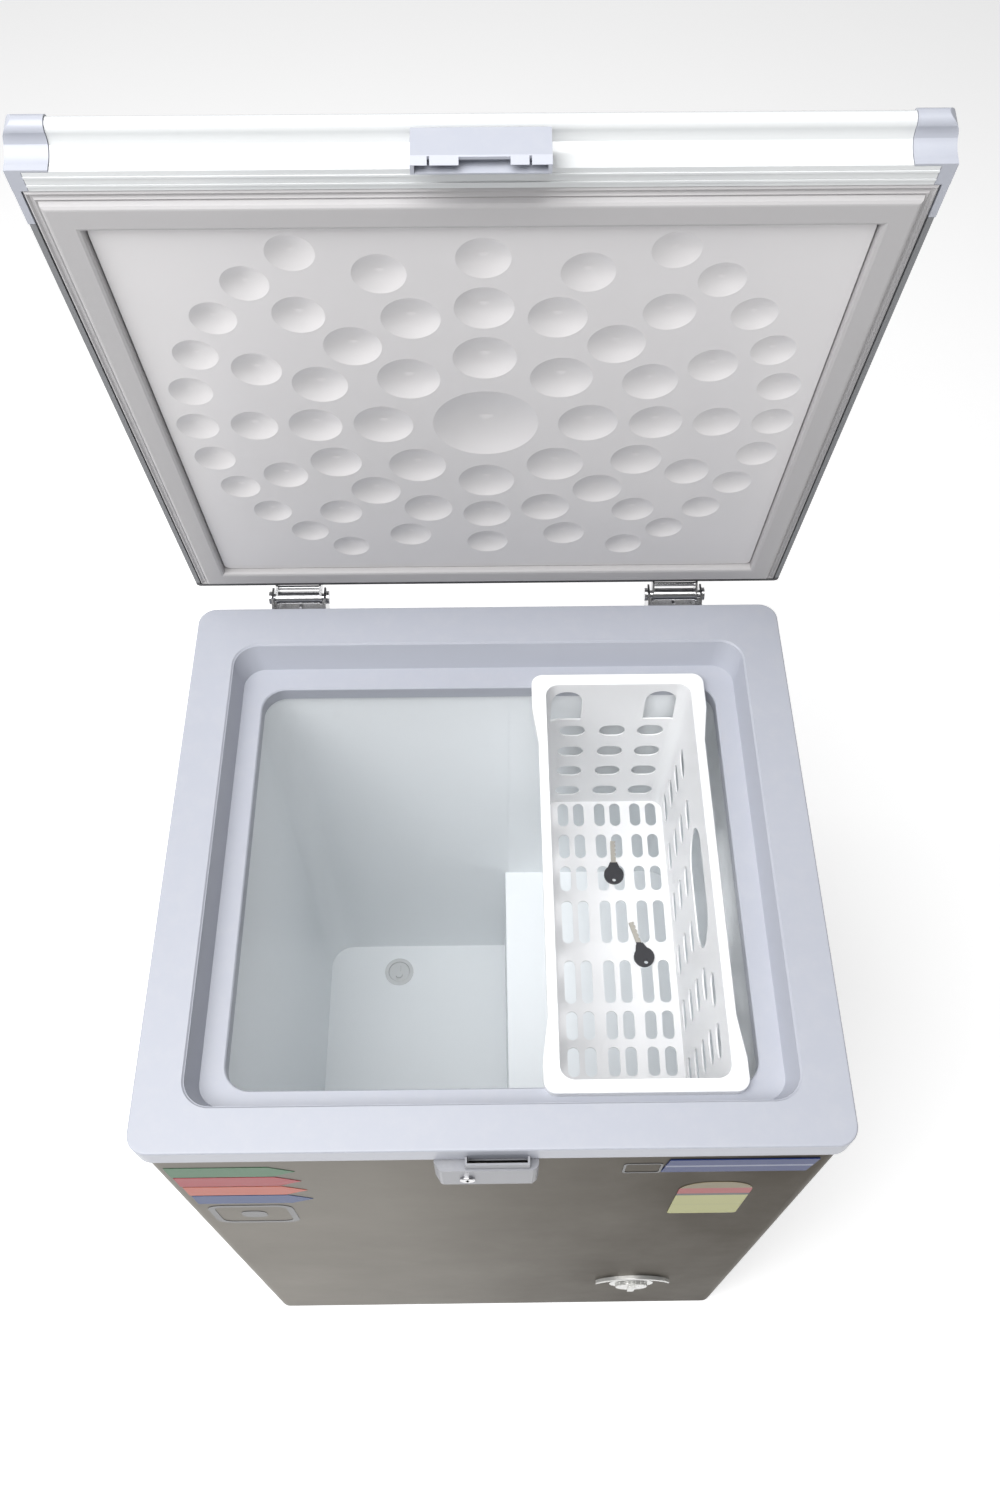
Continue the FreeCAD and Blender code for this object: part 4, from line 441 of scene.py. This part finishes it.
# %% Labels
def paint_steps(title, node, axis, stops, roughness=0.4):
    """Flat print in bands along one axis; stops are (share of the label, colour)."""
    low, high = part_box(node)

    def bands(tree, tone):
        where = place(tree, "ShaderNodeSeparateXYZ")
        tree.links.new(place(tree, "ShaderNodeTexCoord").outputs["Object"], where.inputs["Vector"])
        share = spread(tree, where.outputs["XYZ"[axis]], low[axis], high[axis])
        ramp = place(tree, "ShaderNodeValToRGB")
        ramp.color_ramp.interpolation = "CONSTANT"
        while len(ramp.color_ramp.elements) < len(stops):
            ramp.color_ramp.elements.new(0.5)
        for element, (position, colour) in zip(ramp.color_ramp.elements, stops):
            element.position = position
            element.color = (*colour, 1.0)
        tree.links.new(share, ramp.inputs["Fac"])
        return mixed(tree, 1.0, ramp.outputs["Color"], tone, "MULTIPLY")

    dress(finish_of(title, (1.0, 1.0, 1.0), roughness, drift=0.05, grain=600.0, bump=0.05, dust=0.0,
                    specular=0.2, before_dust=bands), node)


BLUE, ORANGE, RED, GREEN = (0.02, 0.05, 0.17), (0.46, 0.09, 0.05), (0.33, 0.02, 0.03), (0.03, 0.13, 0.05)
CREAM, NAVY = (0.38, 0.38, 0.14), (0.012, 0.03, 0.14)
KEY_BOW, KEY_BLADE = (0.05, 0.05, 0.055), (0.42, 0.40, 0.36)
paint_steps("Arrow strips", "sticker_feature_strips", 2,
            [(0.0, BLUE), (0.25, ORANGE), (0.50, RED), (0.75, GREEN)])
paint_steps("Badge print", "badge", 2, [(0.0, NAVY), (0.44, (0.22, 0.24, 0.34)), (0.56, NAVY)])
paint_steps("Energy label", "sticker_energy_label", 2,
            [(0.0, CREAM), (0.28, (0.36, 0.36, 0.14)), (0.32, CREAM), (0.60, (0.06, 0.06, 0.06)),
             (0.66, (0.34, 0.05, 0.05)), (0.82, (0.20, 0.16, 0.08))])
paint_steps("Keys", "keys", 1, [(0.0, KEY_BOW), (0.18, KEY_BLADE), (0.60, KEY_BOW), (0.82, KEY_BLADE)])
dress(finish_of("Dark print", (0.05, 0.05, 0.055), 0.35, dust=0.0), "sticker_marks")
print("labels dressed")

# %% [markdown]
# ## Stage, light and camera
#
# A pale floor and a soft white surround, brighter on the left, as in a product studio. The camera
# stands in front and looks steeply down into the open tank.

# %% Stage
FLOOR_REACH = 12.0
FLOOR_GLOW = 0.42
BELOW_FEET = 0.0005
floor_corners = [(x * FLOOR_REACH, y * FLOOR_REACH, 0) for x, y in ((-1, -1), (1, -1), (1, 1), (-1, 1))]
floor_mesh = bpy.data.meshes.new("floor")
floor_mesh.from_pydata(floor_corners, [], [(0, 1, 2, 3)])
floor = bpy.data.objects.new("floor", floor_mesh)
floor.location.z = cad_low.z - BELOW_FEET
bpy.context.scene.collection.objects.link(floor)
floor_finish = finish_of("Studio floor", (0.93, 0.93, 0.93), 0.7, drift=0.01, bump=0.02, dust=0.0)
floor_shader = floor_finish.node_tree.nodes["Principled BSDF"]
floor_shader.inputs["Emission Color"].default_value = (1.0, 1.0, 1.0, 1.0)
floor_shader.inputs["Emission Strength"].default_value = FLOOR_GLOW
floor_mesh.materials.append(floor_finish)
print("floor at", round(floor.location.z, 4))

# %% [markdown]
# ### Light
#
# The world gives a weak fill that is brighter on the left, so that the right side falls off. One large
# soft panel hangs overhead, a little in front, because a deep tank only sees the light above it. A
# smaller key from the left shapes the funnel and the dimples. The floor glows a little, as the sweep
# of a product studio does.

# %% Light
FILL_RIGHT, FILL_LEFT, FILL_STRENGTH = (0.12, 0.118, 0.115), (1.0, 1.0, 1.01), 0.36
world = bpy.data.worlds.new("studio")
bpy.context.scene.world = world
world.use_nodes = True
sky = world.node_tree
ambient = sky.nodes["Background"]
direction = place(sky, "ShaderNodeSeparateXYZ")
sky.links.new(place(sky, "ShaderNodeTexCoord").outputs["Generated"], direction.inputs["Vector"])
from_left = spread(sky, direction.outputs["X"], -1.0, 1.0, 1.0, 0.0)
sky.links.new(mixed(sky, from_left, FILL_RIGHT, FILL_LEFT), ambient.inputs["Color"])
ambient.inputs["Strength"].default_value = FILL_STRENGTH


def softbox(title, place_at, aim_at, width, height, power, tint=(1.0, 1.0, 1.0)):
    """A large area light aimed at a point."""
    data = bpy.data.lights.new(title, "AREA")
    data.shape = "RECTANGLE"
    data.size = width
    data.size_y = height
    data.energy = power
    data.color = tint
    lamp = bpy.data.objects.new(title, data)
    lamp.location = place_at
    lamp.rotation_mode = "QUATERNION"
    lamp.rotation_quaternion = (Vector(aim_at) - Vector(place_at)).to_track_quat("-Z", "Y")
    bpy.context.scene.collection.objects.link(lamp)
    return lamp


softbox("key light", (-1.7, -0.7, 2.5), (0.1, 0.1, 0.6), 1.5, 1.4, 17.0)
softbox("top light", (-0.6, -0.75, 3.3), (-0.05, 0.0, 0.4), 2.4, 2.4, 102.0)

# %% [markdown]
# ### Camera
#
# The camera's three axes are built by hand from a downward pitch and a small turn to the right, which
# keeps it free of roll.

# %% Camera
CAMERA_AT = Vector((0.00225, -0.5318, 1.7851))
PITCH_DOWN = math.radians(58.29)
YAW_RIGHT = math.radians(0.694)
LENS_MM = 30.41
ahead = Vector((math.sin(YAW_RIGHT) * math.cos(PITCH_DOWN), math.cos(YAW_RIGHT) * math.cos(PITCH_DOWN),
                -math.sin(PITCH_DOWN)))
to_right = Vector((math.cos(YAW_RIGHT), -math.sin(YAW_RIGHT), 0.0))
camera_up = to_right.cross(ahead)
camera_data = bpy.data.cameras.new("camera")
camera_data.lens = LENS_MM
camera_data.sensor_width = 36.0
camera = bpy.data.objects.new("camera", camera_data)
turn = Matrix((to_right, camera_up, -ahead)).transposed().to_4x4()
camera.matrix_world = Matrix.Translation(CAMERA_AT) @ turn
bpy.context.scene.collection.objects.link(camera)
bpy.context.scene.camera = camera
bpy.context.scene.view_settings.view_transform = "Standard"
print("camera at", [round(v, 3) for v in CAMERA_AT])
